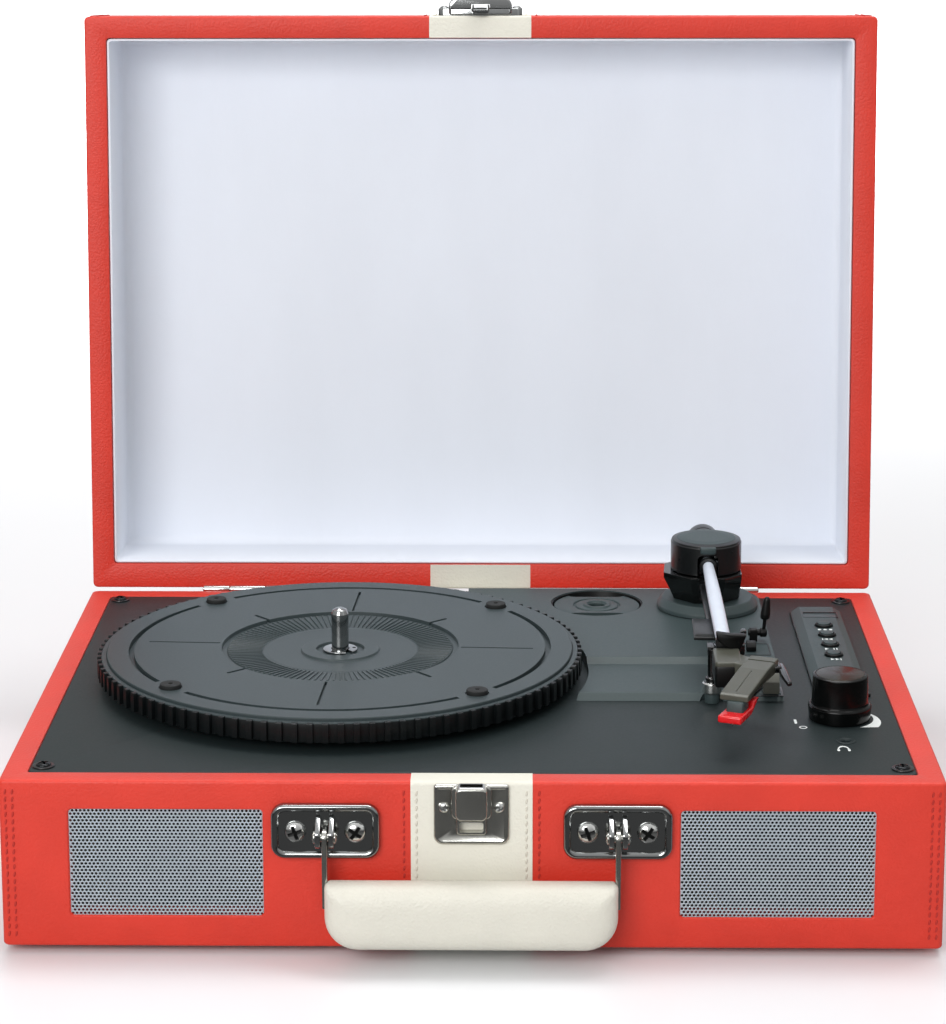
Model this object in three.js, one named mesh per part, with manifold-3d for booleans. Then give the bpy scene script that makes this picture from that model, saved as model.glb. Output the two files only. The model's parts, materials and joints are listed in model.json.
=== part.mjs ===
// Suitcase record player: a wooden case with a hinged lid, a belt-driven platter and a pivoted arm.
// Millimetres, +X to the right, +Y to the back, +Z up. The lid stands open.
import * as THREE from 'three';
import { mergeVertices } from 'three/addons/utils/BufferGeometryUtils.js';
import Module from 'manifold-3d';

const wasm = await Module();
wasm.setup();

// ---------------------------------------------------------------- driving dimensions
const CASE = { width: 350, depth: 255, baseHeight: 65, lidHeight: 48, wall: 9.5, corner: 4 };
const GAP = 0.3;
const FRONT = -CASE.depth / 2;
const BACK = CASE.depth / 2;
const RIM = CASE.baseHeight;
const INNER_W = CASE.width - 2 * CASE.wall;
const INNER_D = CASE.depth - 2 * CASE.wall;
const INNER_CORNER = 2;
const PANEL = 4;

const FOOT = { height: 3, radius: 9, x: 145, y: 98 };
const GRILLE = { width: 71.5, height: 41, x: 113.3, z: 33, corner: 2.5, thick: 1.2, recess: 0.5 };
const SPEAKER = { rim: 27, cone: 22, magnet: 16, depth: 24 };
const DECK = { thick: 3, gap: 0.1 };

const PLATTER = { x: -55.7, y: 1.5, radius: 98.8, top: RIM + 13, bottom: RIM + 4, bore: 3.9 };
const BELT_RING = { outer: 60, inner: 57 };
const PAD = { ring: 86, radius: 4.5, height: 0.9, turn: -4.5, count: 4 };
const SPINDLE = { radius: 3.5, top: RIM + 29, bottom: RIM - 12 };
const MOTOR = { radius: 18, reach: 72, bearing: 135, height: 24, shaft: 1 };
const PULLEY = { radius: 5, flange: 6.5, bottom: RIM + 1.3, top: RIM + 7.7, bore: 1.3 };
const BELT = { thick: 0.8, bottom: RIM + 2.3, top: RIM + 6.7 };

const COVER = { left: -5, right: 123, front: -33, step: 11, back: 115.6, low: 2.7, high: 5, corner: 17 };
const ADAPTER = { x: 51.5, y: 92, radius: 18.9, recess: 20, floor: RIM + 1.4, bore: 3.8 };
const CONTROLS = { x: 147.15, width: 21.7, front: -25, back: 92, height: 3.5 };
const BUTTON = { radius: 3.7, hole: 4, x: 148, bottom: RIM + 1.4, top: RIM + 4.7 };
BUTTON.y = [62.5, 48.5, 34.5, 20];
const WINDOW = { x: 148, y: 79, width: 14, depth: 6.5, thick: 1.3 };
const KNOB = { x: 143, y: -52, radius: 10.75, flange: 12.4, height: 18.4 };
const JACK = { x: 142.5, y: -80, flange: 4.1, barrel: 3.4, bore: 1.8, depth: 15 };

const ARM = { x: 98.7, y: 87, z: RIM + 28, baseRadius: 22, capRadius: 15.3, capBottom: 22.6, capTop: 36.2 };
const TUBE = { front: -39.2, back: 102.9, rootRadius: 2.3, tipRadius: 3, drop: 1.2, shift: 0.4 };
const HEADSHELL = { top: RIM + 27, lowEnd: RIM + 23, bottom: RIM + 19.4, turn: 22 };
const STYLUS_TIP = { x: 97.6, y: -109, z: RIM + 14.4 };
const REST = { x: 94.3, y: -32.5, post: 4.1, top: RIM + 23.2 };
const CUE = { x: 120, y: 36, z: RIM + 8.5, tip: RIM + 24 };
const CUE_PLATE = { inner: 66, outer: 90, from: -9, to: 2.5 };
const WEIGHT = { radius: 7.2, back: 114.4 };

const HINGE = { y: BACK + 2, z: RIM + 0.15, barrel: 1.8, pin: 1, bore: 1.3, x: 105, length: 40, leaf: 16 };
const LID_OPEN = THREE.MathUtils.degToRad(94.4);
const LID_RIM = RIM + GAP;
const LID_TOP = LID_RIM + CASE.lidHeight;

const HANDLE = { x: 54, axisY: FRONT - 6.5, axisZ: 45.5, halfGrip: 55.2, gripTop: 30, gripBottom: 5.5 };
const HANDLE_PLATE = { width: 40.3, height: 21, z: 46.2, thick: 2.6 };
const REAR_PLATE = { x: 90, z: 33, width: 66, height: 26, thick: 1.2 };
const OVERHANG = 25.4;

// ---------------------------------------------------------------- solids
const toSolid = (geometry) => {
  const bare = geometry.clone();
  bare.deleteAttribute('normal');
  bare.deleteAttribute('uv');
  const merged = mergeVertices(bare, 1e-4);
  const vertProperties = new Float32Array(merged.attributes.position.array);
  const triVerts = new Uint32Array(merged.index.array);
  return new wasm.Manifold(new wasm.Mesh({ numProp: 3, vertProperties, triVerts }));
};

const toGeometry = (solid) => {
  const { vertProperties, triVerts } = solid.getMesh();
  const geometry = new THREE.BufferGeometry();
  geometry.setAttribute('position', new THREE.BufferAttribute(vertProperties, 3));
  geometry.setIndex(new THREE.BufferAttribute(triVerts, 1));
  geometry.computeVertexNormals();
  return geometry;
};

const join = (first, ...others) =>
  toGeometry(others.reduce((solid, other) => solid.add(toSolid(other)), toSolid(first)));
const cut = (first, ...tools) =>
  toGeometry(tools.reduce((solid, tool) => solid.subtract(toSolid(tool)), toSolid(first)));
const common = (first, second) => toGeometry(toSolid(first).intersect(toSolid(second)));

const block = (x0, x1, y0, y1, z0, z1) =>
  new THREE.BoxGeometry(x1 - x0, y1 - y0, z1 - z0).translate((x0 + x1) / 2, (y0 + y1) / 2, (z0 + z1) / 2);

// A rectangle with round corners, centred on (x, y).
const roundedRect = (width, height, radius, x = 0, y = 0) => {
  const shape = new THREE.Shape();
  const left = x - width / 2;
  const right = x + width / 2;
  const low = y - height / 2;
  const high = y + height / 2;
  shape.moveTo(left + radius, low);
  shape.lineTo(right - radius, low);
  shape.absarc(right - radius, low + radius, radius, -Math.PI / 2, 0);
  shape.lineTo(right, high - radius);
  shape.absarc(right - radius, high - radius, radius, 0, Math.PI / 2);
  shape.lineTo(left + radius, high);
  shape.absarc(left + radius, high - radius, radius, Math.PI / 2, Math.PI);
  shape.lineTo(left, low + radius);
  shape.absarc(left + radius, low + radius, radius, Math.PI, 1.5 * Math.PI);
  return shape;
};

const polygon = (points) => new THREE.Shape(points.map(([x, y]) => new THREE.Vector2(x, y)));

// A plan outline raised from z0 to z1.
const raise = (shape, z0, z1, curveSegments = 2) =>
  new THREE.ExtrudeGeometry(shape, { depth: z1 - z0, bevelEnabled: false, curveSegments })
    .translate(0, 0, z0);

// A front outline in X and Z, given depth from y0 to y1.
const deepen = (shape, y0, y1, curveSegments = 2) =>
  raise(shape, -y1, -y0, curveSegments).rotateX(Math.PI / 2);

// A side outline in Y and Z, given width from x0 to x1.
const widen = (shape, x0, x1, curveSegments = 2) => {
  const geometry = raise(shape, x0, x1, curveSegments);
  return geometry.applyMatrix4(new THREE.Matrix4().makeBasis(
    new THREE.Vector3(0, 1, 0), new THREE.Vector3(0, 0, 1), new THREE.Vector3(1, 0, 0)));
};

// A profile of [radius, height] turned about the vertical axis through (x, y).
const turn = (profile, x, y, segments = 20) =>
  new THREE.LatheGeometry(profile.map(([r, h]) => new THREE.Vector2(r, h)), segments)
    .rotateX(Math.PI / 2).translate(x, y, 0);

// The same, about a line along Y: heights become Y positions.
const turnAlongY = (profile, x, z, segments = 16) =>
  new THREE.LatheGeometry(profile.map(([r, h]) => new THREE.Vector2(r, h)), segments).translate(x, 0, z);

const post = (radius, z0, z1, x, y, segments = 16) =>
  turn([[0, z0], [radius, z0], [radius, z1], [0, z1]], x, y, segments);

const rodX = (radius, x0, x1, y, z, segments = 12) =>
  new THREE.CylinderGeometry(radius, radius, x1 - x0, segments).rotateZ(Math.PI / 2)
    .translate((x0 + x1) / 2, y, z);

// ---------------------------------------------------------------- materials
const finishes = {
  redLeather: { color: '#d74632', roughness: 0.62, metalness: 0 },
  creamLeather: { color: '#e9e6db', roughness: 0.6, metalness: 0 },
  wood: { color: '#8f7351', roughness: 0.8, metalness: 0 },
  deckBlack: { color: '#2b3234', roughness: 0.55, metalness: 0 },
  platterGrey: { color: '#3e4245', roughness: 0.5, metalness: 0 },
  glossBlack: { color: '#0d0e0f', roughness: 0.18, metalness: 0 },
  rubber: { color: '#1a1b1c', roughness: 0.9, metalness: 0 },
  chrome: { color: '#d8dade', roughness: 0.15, metalness: 1 },
  grille: { color: '#96a5af', roughness: 0.45, metalness: 0.6 },
  paper: { color: '#26282a', roughness: 0.9, metalness: 0 },
  lining: { color: '#e1e6ee', roughness: 0.95, metalness: 0 },
  armSilver: { color: '#b9c3cd', roughness: 0.35, metalness: 0.5 },
  stylusRed: { color: '#c8141a', roughness: 0.3, metalness: 0 },
  board: { color: '#2f6b46', roughness: 0.6, metalness: 0 },
  screen: { color: '#151a1c', roughness: 0.1, metalness: 0 },
};

const player = new THREE.Group();
player.position.set(0, -OVERHANG, FOOT.height);

const add = (name, geometry, finish, parent = player) => {
  const mesh = new THREE.Mesh(geometry, new THREE.MeshStandardMaterial(finishes[finish]));
  mesh.name = name;
  parent.add(mesh);
};

const sides = [['left', -1], ['right', 1]];
const ends = [['front', -1], ['rear', 1]];

// ---------------------------------------------------------------- case base
const grilleOpening = (x) =>
  deepen(roundedRect(GRILLE.width + 2 * GAP, GRILLE.height + 2 * GAP, GRILLE.corner, x, GRILLE.z),
    FRONT - 1, FRONT + CASE.wall + 1);

const makeBaseFrame = () => {
  const ring = roundedRect(CASE.width, CASE.depth, CASE.corner);
  ring.holes.push(roundedRect(INNER_W, INNER_D, INNER_CORNER));
  const cleat = 16;
  const cleats = sides.flatMap(([, sx]) => ends.map(([, sy]) => {
    const x = sx * (INNER_W / 2 - cleat / 2 + 1);
    const y = sy * (INNER_D / 2 - cleat / 2 + 1);
    const half = cleat / 2;
    return block(x - half, x + half, y - half, y + half, PANEL + GAP, RIM - DECK.thick - GAP);
  }));
  const rearHole = deepen(
    roundedRect(REAR_PLATE.width - 8, REAR_PLATE.height - 6, 2, REAR_PLATE.x, REAR_PLATE.z),
    BACK - CASE.wall - 1, BACK + 1);
  const openings = [grilleOpening(-GRILLE.x), grilleOpening(GRILLE.x), rearHole];
  return cut(join(raise(ring, 0, RIM), ...cleats), ...openings);
};

const innerPanel = (z0, z1) =>
  raise(roundedRect(INNER_W - 2 * GAP, INNER_D - 2 * GAP, INNER_CORNER - GAP), z0, z1);

add('base_frame', makeBaseFrame(), 'redLeather');
add('base_floor', innerPanel(0, PANEL), 'wood');

for (const [end, sy] of ends) {
  for (const [side, sx] of sides) {
    const foot = [[0, -FOOT.height], [FOOT.radius - 1, -FOOT.height], [FOOT.radius, -GAP], [0, -GAP]];
    add(`foot_${end}_${side}`, turn(foot, sx * FOOT.x, sy * FOOT.y), 'rubber');
  }
}

const makeSpeaker = (x) => {
  const front = FRONT + CASE.wall + GAP;
  const back = front + SPEAKER.depth;
  const profile = [
    [0, back], [SPEAKER.magnet, back], [SPEAKER.magnet, back - 10], [SPEAKER.cone, front + 2],
    [SPEAKER.rim, front + 2], [SPEAKER.rim, front], [SPEAKER.cone, front], [SPEAKER.magnet / 2, back - 12],
    [0, back - 14],
  ];
  return turnAlongY(profile.reverse(), x, GRILLE.z, 20);
};

for (const [side, sx] of sides) {
  const outline = roundedRect(GRILLE.width, GRILLE.height, GRILLE.corner, sx * GRILLE.x, GRILLE.z);
  const face = FRONT + GRILLE.recess;
  add(`speaker_grille_${side}`, deepen(outline, face, face + GRILLE.thick), 'grille');
  add(`speaker_${side}`, makeSpeaker(sx * GRILLE.x), 'paper');
}

// ---------------------------------------------------------------- deck and platter drive
const motorAngle = THREE.MathUtils.degToRad(MOTOR.bearing);
const motorX = PLATTER.x + MOTOR.reach * Math.cos(motorAngle);
const motorY = PLATTER.y + MOTOR.reach * Math.sin(motorAngle);

add('deck_plate', cut(
  innerPanel(RIM - DECK.thick, RIM),
  post(5, RIM - 5, RIM + 1, PLATTER.x, PLATTER.y),
  post(9, RIM - 5, RIM + 1, motorX, motorY),
  post(4, RIM - 5, RIM + 1, KNOB.x, KNOB.y),
  post(JACK.barrel + GAP, RIM - 5, RIM + 1, JACK.x, JACK.y),
), 'deckBlack');

const makePlatter = () => {
  const { radius, top, bottom, bore } = PLATTER;
  const skirt = 3.8;
  const under = top - 3.5;
  const hub = 9.8;
  const profile = [
    [bore, bottom - 1], [hub, bottom - 1], [hub, under], [BELT_RING.inner, under],
    [BELT_RING.inner, bottom - 1], [BELT_RING.outer, bottom - 1], [BELT_RING.outer, under],
    [radius - skirt, under], [radius - skirt, bottom], [radius, bottom], [radius, top - 1],
    [radius - 1.2, top], [47.5, top], [47, top - 0.6], [31, top - 1.6], [16, top - 1.8], [15.4, top - 1.4],
    [hub, top - 1.4], [hub, top - 2.4], [bore, top - 2.4], [bore, bottom - 1],
  ];
  const pads = Array.from({ length: PAD.count }, (_, i) => {
    const angle = THREE.MathUtils.degToRad(45 + PAD.turn + (360 / PAD.count) * i);
    const x = PLATTER.x + PAD.ring * Math.cos(angle);
    const y = PLATTER.y + PAD.ring * Math.sin(angle);
    return post(PAD.radius, top - 1, top + PAD.height, x, y, 12);
  });
  return join(turn(profile, PLATTER.x, PLATTER.y, 40), ...pads);
};

const spindleProfile = [
  [0, SPINDLE.bottom], [8, SPINDLE.bottom], [8, SPINDLE.bottom + 3], [SPINDLE.radius, SPINDLE.bottom + 3],
  [SPINDLE.radius, SPINDLE.top - 2], [SPINDLE.radius * 0.7, SPINDLE.top - 0.6], [0, SPINDLE.top],
];
const clipBottom = PLATTER.top - 2.4 + GAP;
const clipProfile = [
  [SPINDLE.radius + GAP, clipBottom], [7, clipBottom], [7, clipBottom + 0.8],
  [SPINDLE.radius + GAP, clipBottom + 0.8], [SPINDLE.radius + GAP, clipBottom],
];
const motorTop = RIM - DECK.thick - GAP;
const motorProfile = [
  [0, motorTop - MOTOR.height], [MOTOR.radius - 1, motorTop - MOTOR.height],
  [MOTOR.radius, motorTop - MOTOR.height + 1], [MOTOR.radius, motorTop - 1], [MOTOR.radius - 1, motorTop],
  [MOTOR.shaft, motorTop], [MOTOR.shaft, PULLEY.top + 0.5], [0, PULLEY.top + 0.5],
];
const pulleyProfile = [
  [PULLEY.bore, PULLEY.bottom], [PULLEY.flange, PULLEY.bottom], [PULLEY.flange, PULLEY.bottom + 0.7],
  [PULLEY.radius, PULLEY.bottom + 0.7], [PULLEY.radius, PULLEY.top - 0.7],
  [PULLEY.flange, PULLEY.top - 0.7],
  [PULLEY.flange, PULLEY.top], [PULLEY.bore, PULLEY.top], [PULLEY.bore, PULLEY.bottom],
];

// The loop of an open belt round two wheels, its inner face at the given spacing outside both.
const beltLoop = (spacing) => {
  const big = BELT_RING.outer + spacing;
  const small = PULLEY.radius + spacing;
  const spread = Math.acos((big - small) / MOTOR.reach);
  const shape = new THREE.Shape();
  shape.absarc(0, 0, big, spread, 2 * Math.PI - spread);
  shape.absarc(MOTOR.reach, 0, small, -spread, spread);
  return shape;
};

const makeBelt = () => {
  const loop = beltLoop(GAP + BELT.thick);
  loop.holes.push(beltLoop(GAP));
  return raise(loop, BELT.bottom, BELT.top, 24).rotateZ(motorAngle).translate(PLATTER.x, PLATTER.y, 0);
};

add('platter', makePlatter(), 'platterGrey');
add('spindle', turn(spindleProfile, PLATTER.x, PLATTER.y), 'chrome');
add('spindle_clip', turn(clipProfile, PLATTER.x, PLATTER.y, 16), 'chrome');
add('drive_motor', turn(motorProfile, motorX, motorY), 'chrome');
add('motor_pulley', turn(pulleyProfile, motorX, motorY, 16), 'armSilver');
add('drive_belt', makeBelt(), 'rubber');

// ---------------------------------------------------------------- mechanism cover and its switches
const makeCover = () => {
  const base = RIM + DECK.gap;
  const low = RIM + COVER.low;
  const high = RIM + COVER.high;
  const side = polygon([
    [COVER.front - 3, base], [COVER.back, base], [COVER.back, high - 1], [COVER.back - 1, high],
    [COVER.step + 1.5, high], [COVER.step - 1.5, low], [COVER.front, low],
  ]);
  const outline = new THREE.Shape();
  outline.moveTo(COVER.left, COVER.front - 4);
  outline.lineTo(COVER.right, COVER.front - 4);
  outline.lineTo(COVER.right, COVER.back - COVER.corner);
  outline.absarc(COVER.right - COVER.corner, COVER.back - COVER.corner, COVER.corner, 0, Math.PI / 2);
  outline.lineTo(COVER.left, COVER.back);
  const plate = common(widen(side, COVER.left, COVER.right), raise(outline, RIM, RIM + 10, 4));
  const bracket = block(112, 117.5, CUE.y - 3, CUE.y + 3, high - 0.5, CUE.z + 3);
  return cut(
    join(plate, bracket),
    post(PLATTER.radius + 4.7, RIM - 1, RIM + 20, PLATTER.x, PLATTER.y, 60),
    post(ADAPTER.recess, ADAPTER.floor, RIM + 20, ADAPTER.x, ADAPTER.y, 28),
    post(REST.post + 0.5, RIM - 1, RIM + 20, REST.x, REST.y),
    rodX(1.8, 111, 118, CUE.y, CUE.z),
  );
};

const adapterFloor = ADAPTER.floor + GAP;
const adapterProfile = [
  [ADAPTER.bore, adapterFloor], [ADAPTER.radius, adapterFloor], [ADAPTER.radius, adapterFloor + 3.2],
  [ADAPTER.radius - 0.8, adapterFloor + 4], [11, adapterFloor + 4], [10, adapterFloor + 3],
  [8, adapterFloor + 3],
  [7, adapterFloor + 4.4], [ADAPTER.bore, adapterFloor + 4.4], [ADAPTER.bore, adapterFloor],
];

const makeCueLever = () => {
  const axle = rodX(1.4, 112.5, CUE.x + 1.5, CUE.y, CUE.z);
  const stem = turn([
    [0, CUE.z - 1.4], [1.3, CUE.z - 1.4], [1.3, CUE.z + 5], [2.3, CUE.z + 6],
    [1.6, CUE.tip - 1], [0, CUE.tip],
  ], CUE.x, CUE.y, 10);
  return join(axle, stem);
};

const switchCap = (x, y, width, depth, bottom, height) => widen(polygon([
  [y - depth / 2, bottom], [y + depth / 2, bottom], [y + depth / 2, bottom + height - 2],
  [y + depth / 4, bottom + height], [y - depth / 4, bottom + height], [y - depth / 2, bottom + height - 3],
]), x - width / 2, x + width / 2);

add('mechanism_cover', makeCover(), 'deckBlack');
add('adapter_45', turn(adapterProfile, ADAPTER.x, ADAPTER.y, 24), 'deckBlack');
add('cue_lever', makeCueLever(), 'glossBlack');
add('speed_switch', switchCap(118, -27, 6.5, 9, RIM + COVER.low + GAP, 8), 'deckBlack');
add('autostop_switch', switchCap(113.8, 22, 4, 6, RIM + COVER.high + GAP, 3.5), 'glossBlack');

// ---------------------------------------------------------------- control strip
const stripLength = CONTROLS.back - CONTROLS.front;
const stripShape = roundedRect(
  CONTROLS.width - 2, stripLength - 2, 1.5, CONTROLS.x, (CONTROLS.front + CONTROLS.back) / 2);
const strip = new THREE.ExtrudeGeometry(stripShape, {
  depth: CONTROLS.height - 1, bevelThickness: 1, bevelSize: 1, bevelSegments: 1, curveSegments: 2,
}).translate(0, 0, RIM + DECK.gap);
const stripTop = RIM + DECK.gap + CONTROLS.height;

add('control_panel', cut(
  strip,
  block(0, 2 * CASE.width, -CASE.depth, CASE.depth, RIM - 10, RIM + DECK.gap),
  ...BUTTON.y.map((y) => post(BUTTON.hole, RIM - 1, RIM + 10, BUTTON.x, y)),
  block(WINDOW.x - WINDOW.width / 2 - GAP, WINDOW.x + WINDOW.width / 2 + GAP,
    WINDOW.y - WINDOW.depth / 2 - GAP, WINDOW.y + WINDOW.depth / 2 + GAP,
    stripTop - WINDOW.thick, RIM + 10),
), 'deckBlack');
add('display_window', block(
  WINDOW.x - WINDOW.width / 2, WINDOW.x + WINDOW.width / 2,
  WINDOW.y - WINDOW.depth / 2, WINDOW.y + WINDOW.depth / 2,
  stripTop - WINDOW.thick + GAP, stripTop + 0.1), 'screen');

const buttonNames = ['button_mode', 'button_previous', 'button_play', 'button_next'];
buttonNames.forEach((name, i) => {
  const { radius, bottom, top } = BUTTON;
  const profile = [[0, bottom], [radius, bottom], [radius, top - 0.3], [radius - 0.4, top], [0, top - 0.5]];
  add(name, turn(profile, BUTTON.x, BUTTON.y[i], 16), 'glossBlack');
});

const knobBottom = RIM + 0.4;
const knobTop = RIM + KNOB.height;
add('volume_knob', turn([
  [0, RIM - 7], [3, RIM - 7], [3, knobBottom], [KNOB.flange, knobBottom], [KNOB.flange, knobBottom + 2.6],
  [KNOB.radius, knobBottom + 3.6], [KNOB.radius, knobTop - 0.5], [KNOB.radius - 0.5, knobTop], [0, knobTop],
], KNOB.x, KNOB.y, 28), 'glossBlack');

add('headphone_jack', turn([
  [0, RIM - JACK.depth], [JACK.barrel, RIM - JACK.depth], [JACK.barrel, RIM + DECK.gap],
  [JACK.flange, RIM + DECK.gap], [JACK.flange, RIM + 1], [JACK.bore, RIM + 1],
  [JACK.bore, RIM - JACK.depth + 2], [0, RIM - JACK.depth + 2],
], JACK.x, JACK.y, 16), 'glossBlack');

const makeBoard = () => {
  const top = RIM - 12;
  const board = block(118, 158, -30, 100, top - 1.6, top);
  const parts = [[126, 80, 12, 6], [128, 50, 8, 4], [130, 18, 14, 2.5], [148, -14, 6, 7], [150, 84, 8, 5]];
  return join(board, ...parts.map(([x, y, size, height]) =>
    block(x - size / 2, x + size / 2, y - size / 2, y + size / 2, top - 0.5, top + height)));
};
add('main_board', makeBoard(), 'board');

// ---------------------------------------------------------------- arm
const baseTop = RIM + 10;
const coverTop = RIM + COVER.high + GAP;
add('arm_base', turn([
  [0, coverTop], [ARM.baseRadius, coverTop], [ARM.baseRadius, coverTop + 2.6], [19, baseTop], [0, baseTop],
], ARM.x, ARM.y, 28), 'deckBlack');

const turretTop = RIM + ARM.capBottom - GAP;
const makeTurret = () => {
  const skirt = turn([
    [0, baseTop + GAP], [14, baseTop + GAP], [19, turretTop], [0, turretTop],
  ], ARM.x, ARM.y, 8);
  const ears = sides.map(([, sx]) => {
    const inner = ARM.x + sx * 9.6;
    const outer = ARM.x + sx * 12;
    return block(Math.min(inner, outer), Math.max(inner, outer), ARM.y - 3, ARM.y + 3,
      turretTop - 1, ARM.z + 3);
  });
  const flat = block(ARM.x + 15, ARM.x + 30, ARM.y - 30, ARM.y + 30, baseTop, turretTop + 1);
  const reach = WEIGHT.radius + 1;
  const weightNotch = block(
    ARM.x - reach, ARM.x + reach, ARM.y + 13, ARM.y + 30, RIM + 16.5, turretTop + 1);
  return cut(join(skirt, ...ears), flat, weightNotch);
};
add('arm_turret', makeTurret(), 'glossBlack');

const makeCap = () => {
  const bottom = RIM + ARM.capBottom;
  const top = RIM + ARM.capTop;
  const inner = ARM.capRadius - 2;
  const dome = turn([
    [inner, bottom], [ARM.capRadius, bottom], [ARM.capRadius, top - 1], [ARM.capRadius - 1, top], [0, top],
    [0, top - 2], [inner, top - 2], [inner, bottom],
  ], ARM.x, ARM.y, 28);
  return cut(
    dome,
    block(ARM.x - 4.5, ARM.x + 4.5, ARM.y - 20, ARM.y, bottom - 1, ARM.z + 5),
    block(ARM.x - 6, ARM.x + 6, ARM.y, ARM.y + 20, bottom - 1, ARM.z + 6),
  );
};
add('arm_cap', makeCap(), 'glossBlack');

const makeTube = () => {
  const tube = turnAlongY([
    [0, TUBE.front], [TUBE.tipRadius, TUBE.front], [TUBE.tipRadius, TUBE.front + 60],
    [TUBE.rootRadius, ARM.y - 14], [TUBE.rootRadius, TUBE.back], [0, TUBE.back],
  ], 0, 0, 16);
  tube.translate(0, -ARM.y, 0);
  tube.rotateX(Math.asin(TUBE.drop / (ARM.y - TUBE.front)));
  tube.rotateZ(-Math.asin(TUBE.shift / (ARM.y - TUBE.front)));
  tube.translate(ARM.x, ARM.y, ARM.z);
  return join(tube, rodX(2.6, ARM.x - 9, ARM.x + 9, ARM.y, ARM.z));
};
add('arm_tube', makeTube(), 'armSilver');

const weightFront = TUBE.back + GAP;
add('counterweight', turnAlongY([
  [0, weightFront], [WEIGHT.radius, weightFront], [WEIGHT.radius, WEIGHT.back - 1],
  [WEIGHT.radius - 1, WEIGHT.back], [0, WEIGHT.back],
], ARM.x, ARM.z, 16), 'glossBlack');

// The shell's plate runs forward and to the left, in its own frame: s forward along it, t to its right.
const shellTurn = THREE.MathUtils.degToRad(HEADSHELL.turn);
const shellRear = { x: 114, y: -58 };
const alongShell = (s, t) => [
  shellRear.x - s * Math.sin(shellTurn) + t * Math.cos(shellTurn),
  shellRear.y - s * Math.cos(shellTurn) - t * Math.sin(shellTurn),
];
const shellLength = 39;
const shellHalf = 5;

// A side outline in s and z swept across the shell's width.
const shellProfile = (points, half = shellHalf + 0.5) => {
  const body = raise(polygon(points), -half, half);
  const across = new THREE.Vector3(Math.cos(shellTurn), -Math.sin(shellTurn), 0);
  const forward = new THREE.Vector3(-Math.sin(shellTurn), -Math.cos(shellTurn), 0);
  const up = new THREE.Vector3(0, 0, 1);
  body.applyMatrix4(new THREE.Matrix4().makeBasis(forward, up, across.negate()));
  return body.translate(shellRear.x, shellRear.y, 0);
};

const makeHeadshell = () => {
  const { top, lowEnd, bottom } = HEADSHELL;
  const fold = 15;
  const skin = 1.6;
  const rear = block(93.6, 104.4, -60, TUBE.front - GAP, RIM + 14.6, RIM + 25);
  const bridge = raise(polygon([[101, -45], [109, -53], [110, -66], [101, -60]]), RIM + 19, RIM + 25);
  const plan = polygon([
    alongShell(0, -shellHalf), alongShell(0, shellHalf), alongShell(shellLength, shellHalf),
    alongShell(shellLength, -shellHalf),
  ].reverse());
  const crown = [
    [0, bottom], [shellLength, bottom], [shellLength, lowEnd - 0.6], [shellLength - 1, lowEnd],
    [fold, top - 0.8],
    [1, top], [0, top - 1],
  ];
  const hull = common(shellProfile(crown), raise(plan, bottom - 1, top + 1));
  const hollow = shellProfile([
    [3, bottom - 1], [shellLength - 1.5, bottom - 1], [shellLength - 1.5, lowEnd - skin],
    [3, top - skin - 1],
  ], shellHalf - 1.2);
  const lift = raise(polygon([[117.4, -57], [120.2, -56], [121.6, -80], [120, -82]]), RIM + 22.2, RIM + 24);
  return cut(join(hull, rear, bridge, lift), hollow);
};

add('headshell', makeHeadshell(), 'deckBlack');

const cartridgeTop = HEADSHELL.lowEnd - 2.4;
const cartridgeBottom = STYLUS_TIP.z + 4.6;
add('cartridge', shellProfile([
  [16, cartridgeBottom], [shellLength - 2.5, cartridgeBottom],
  [shellLength - 2.5, cartridgeTop], [16, cartridgeTop],
], 3.4), 'glossBlack');

const makeStylus = () => {
  const base = STYLUS_TIP.z + 1;
  const wedge = shellProfile([
    [22, cartridgeBottom - GAP], [30, base], [49, base], [49, base + 2.6], [44, cartridgeBottom - GAP],
  ], 4.2);
  const tip = turn([[0, STYLUS_TIP.z], [0.5, STYLUS_TIP.z + 0.3], [1.2, base + 0.5], [0, base + 0.5]],
    STYLUS_TIP.x, STYLUS_TIP.y + 7, 12);
  return join(wedge, tip);
};
add('stylus', makeStylus(), 'stylusRed');

// ---------------------------------------------------------------- arm rest and cue platform
const makeRest = () => {
  const column = block(REST.x - 2, REST.x + 1.2, REST.y - 1, REST.y + 3, RIM + 8, REST.top);
  const cradle = deepen(polygon([
    [REST.x - 2, REST.top - 3.4], [107, REST.top - 3.4], [107, REST.top + 1], [104.5, REST.top + 1],
    [102.4, REST.top - 1], [96.6, REST.top - 1], [95, REST.top], [REST.x - 2, REST.top],
  ]), REST.y - 1, REST.y + 6);
  const foot = turn([
    [0, RIM + DECK.gap], [3, RIM + DECK.gap], [3, RIM + 4], [REST.post, RIM + 5], [REST.post, RIM + 10],
    [0, RIM + 10],
  ], REST.x, REST.y, 16);
  return join(foot, column, cradle);
};
add('arm_rest', makeRest(), 'glossBlack');
add('rest_clip', deepen(polygon([
  [103.6, REST.top + 1 + GAP], [107, REST.top + 1 + GAP], [108.4, REST.top + 7], [104, REST.top + 7],
]), REST.y, REST.y + 5), 'glossBlack');

const makeCuePlate = () => {
  const start = THREE.MathUtils.degToRad(-90 + CUE_PLATE.from);
  const stop = THREE.MathUtils.degToRad(-90 + CUE_PLATE.to);
  const shape = new THREE.Shape();
  shape.absarc(0, 0, CUE_PLATE.outer, start, stop);
  shape.absarc(0, 0, CUE_PLATE.inner, stop, start, true);
  const under = ARM.z - TUBE.tipRadius - 2.4;
  const plate = raise(shape, under - 1.8, under, 3).translate(ARM.x, ARM.y, 0);
  const stalk = block(ARM.x - 4, ARM.x, ARM.y - CUE_PLATE.inner - 2, ARM.y - 20, under - 3.6, under - 1.6);
  return join(plate, stalk);
};
add('cue_platform', makeCuePlate(), 'deckBlack');

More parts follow.
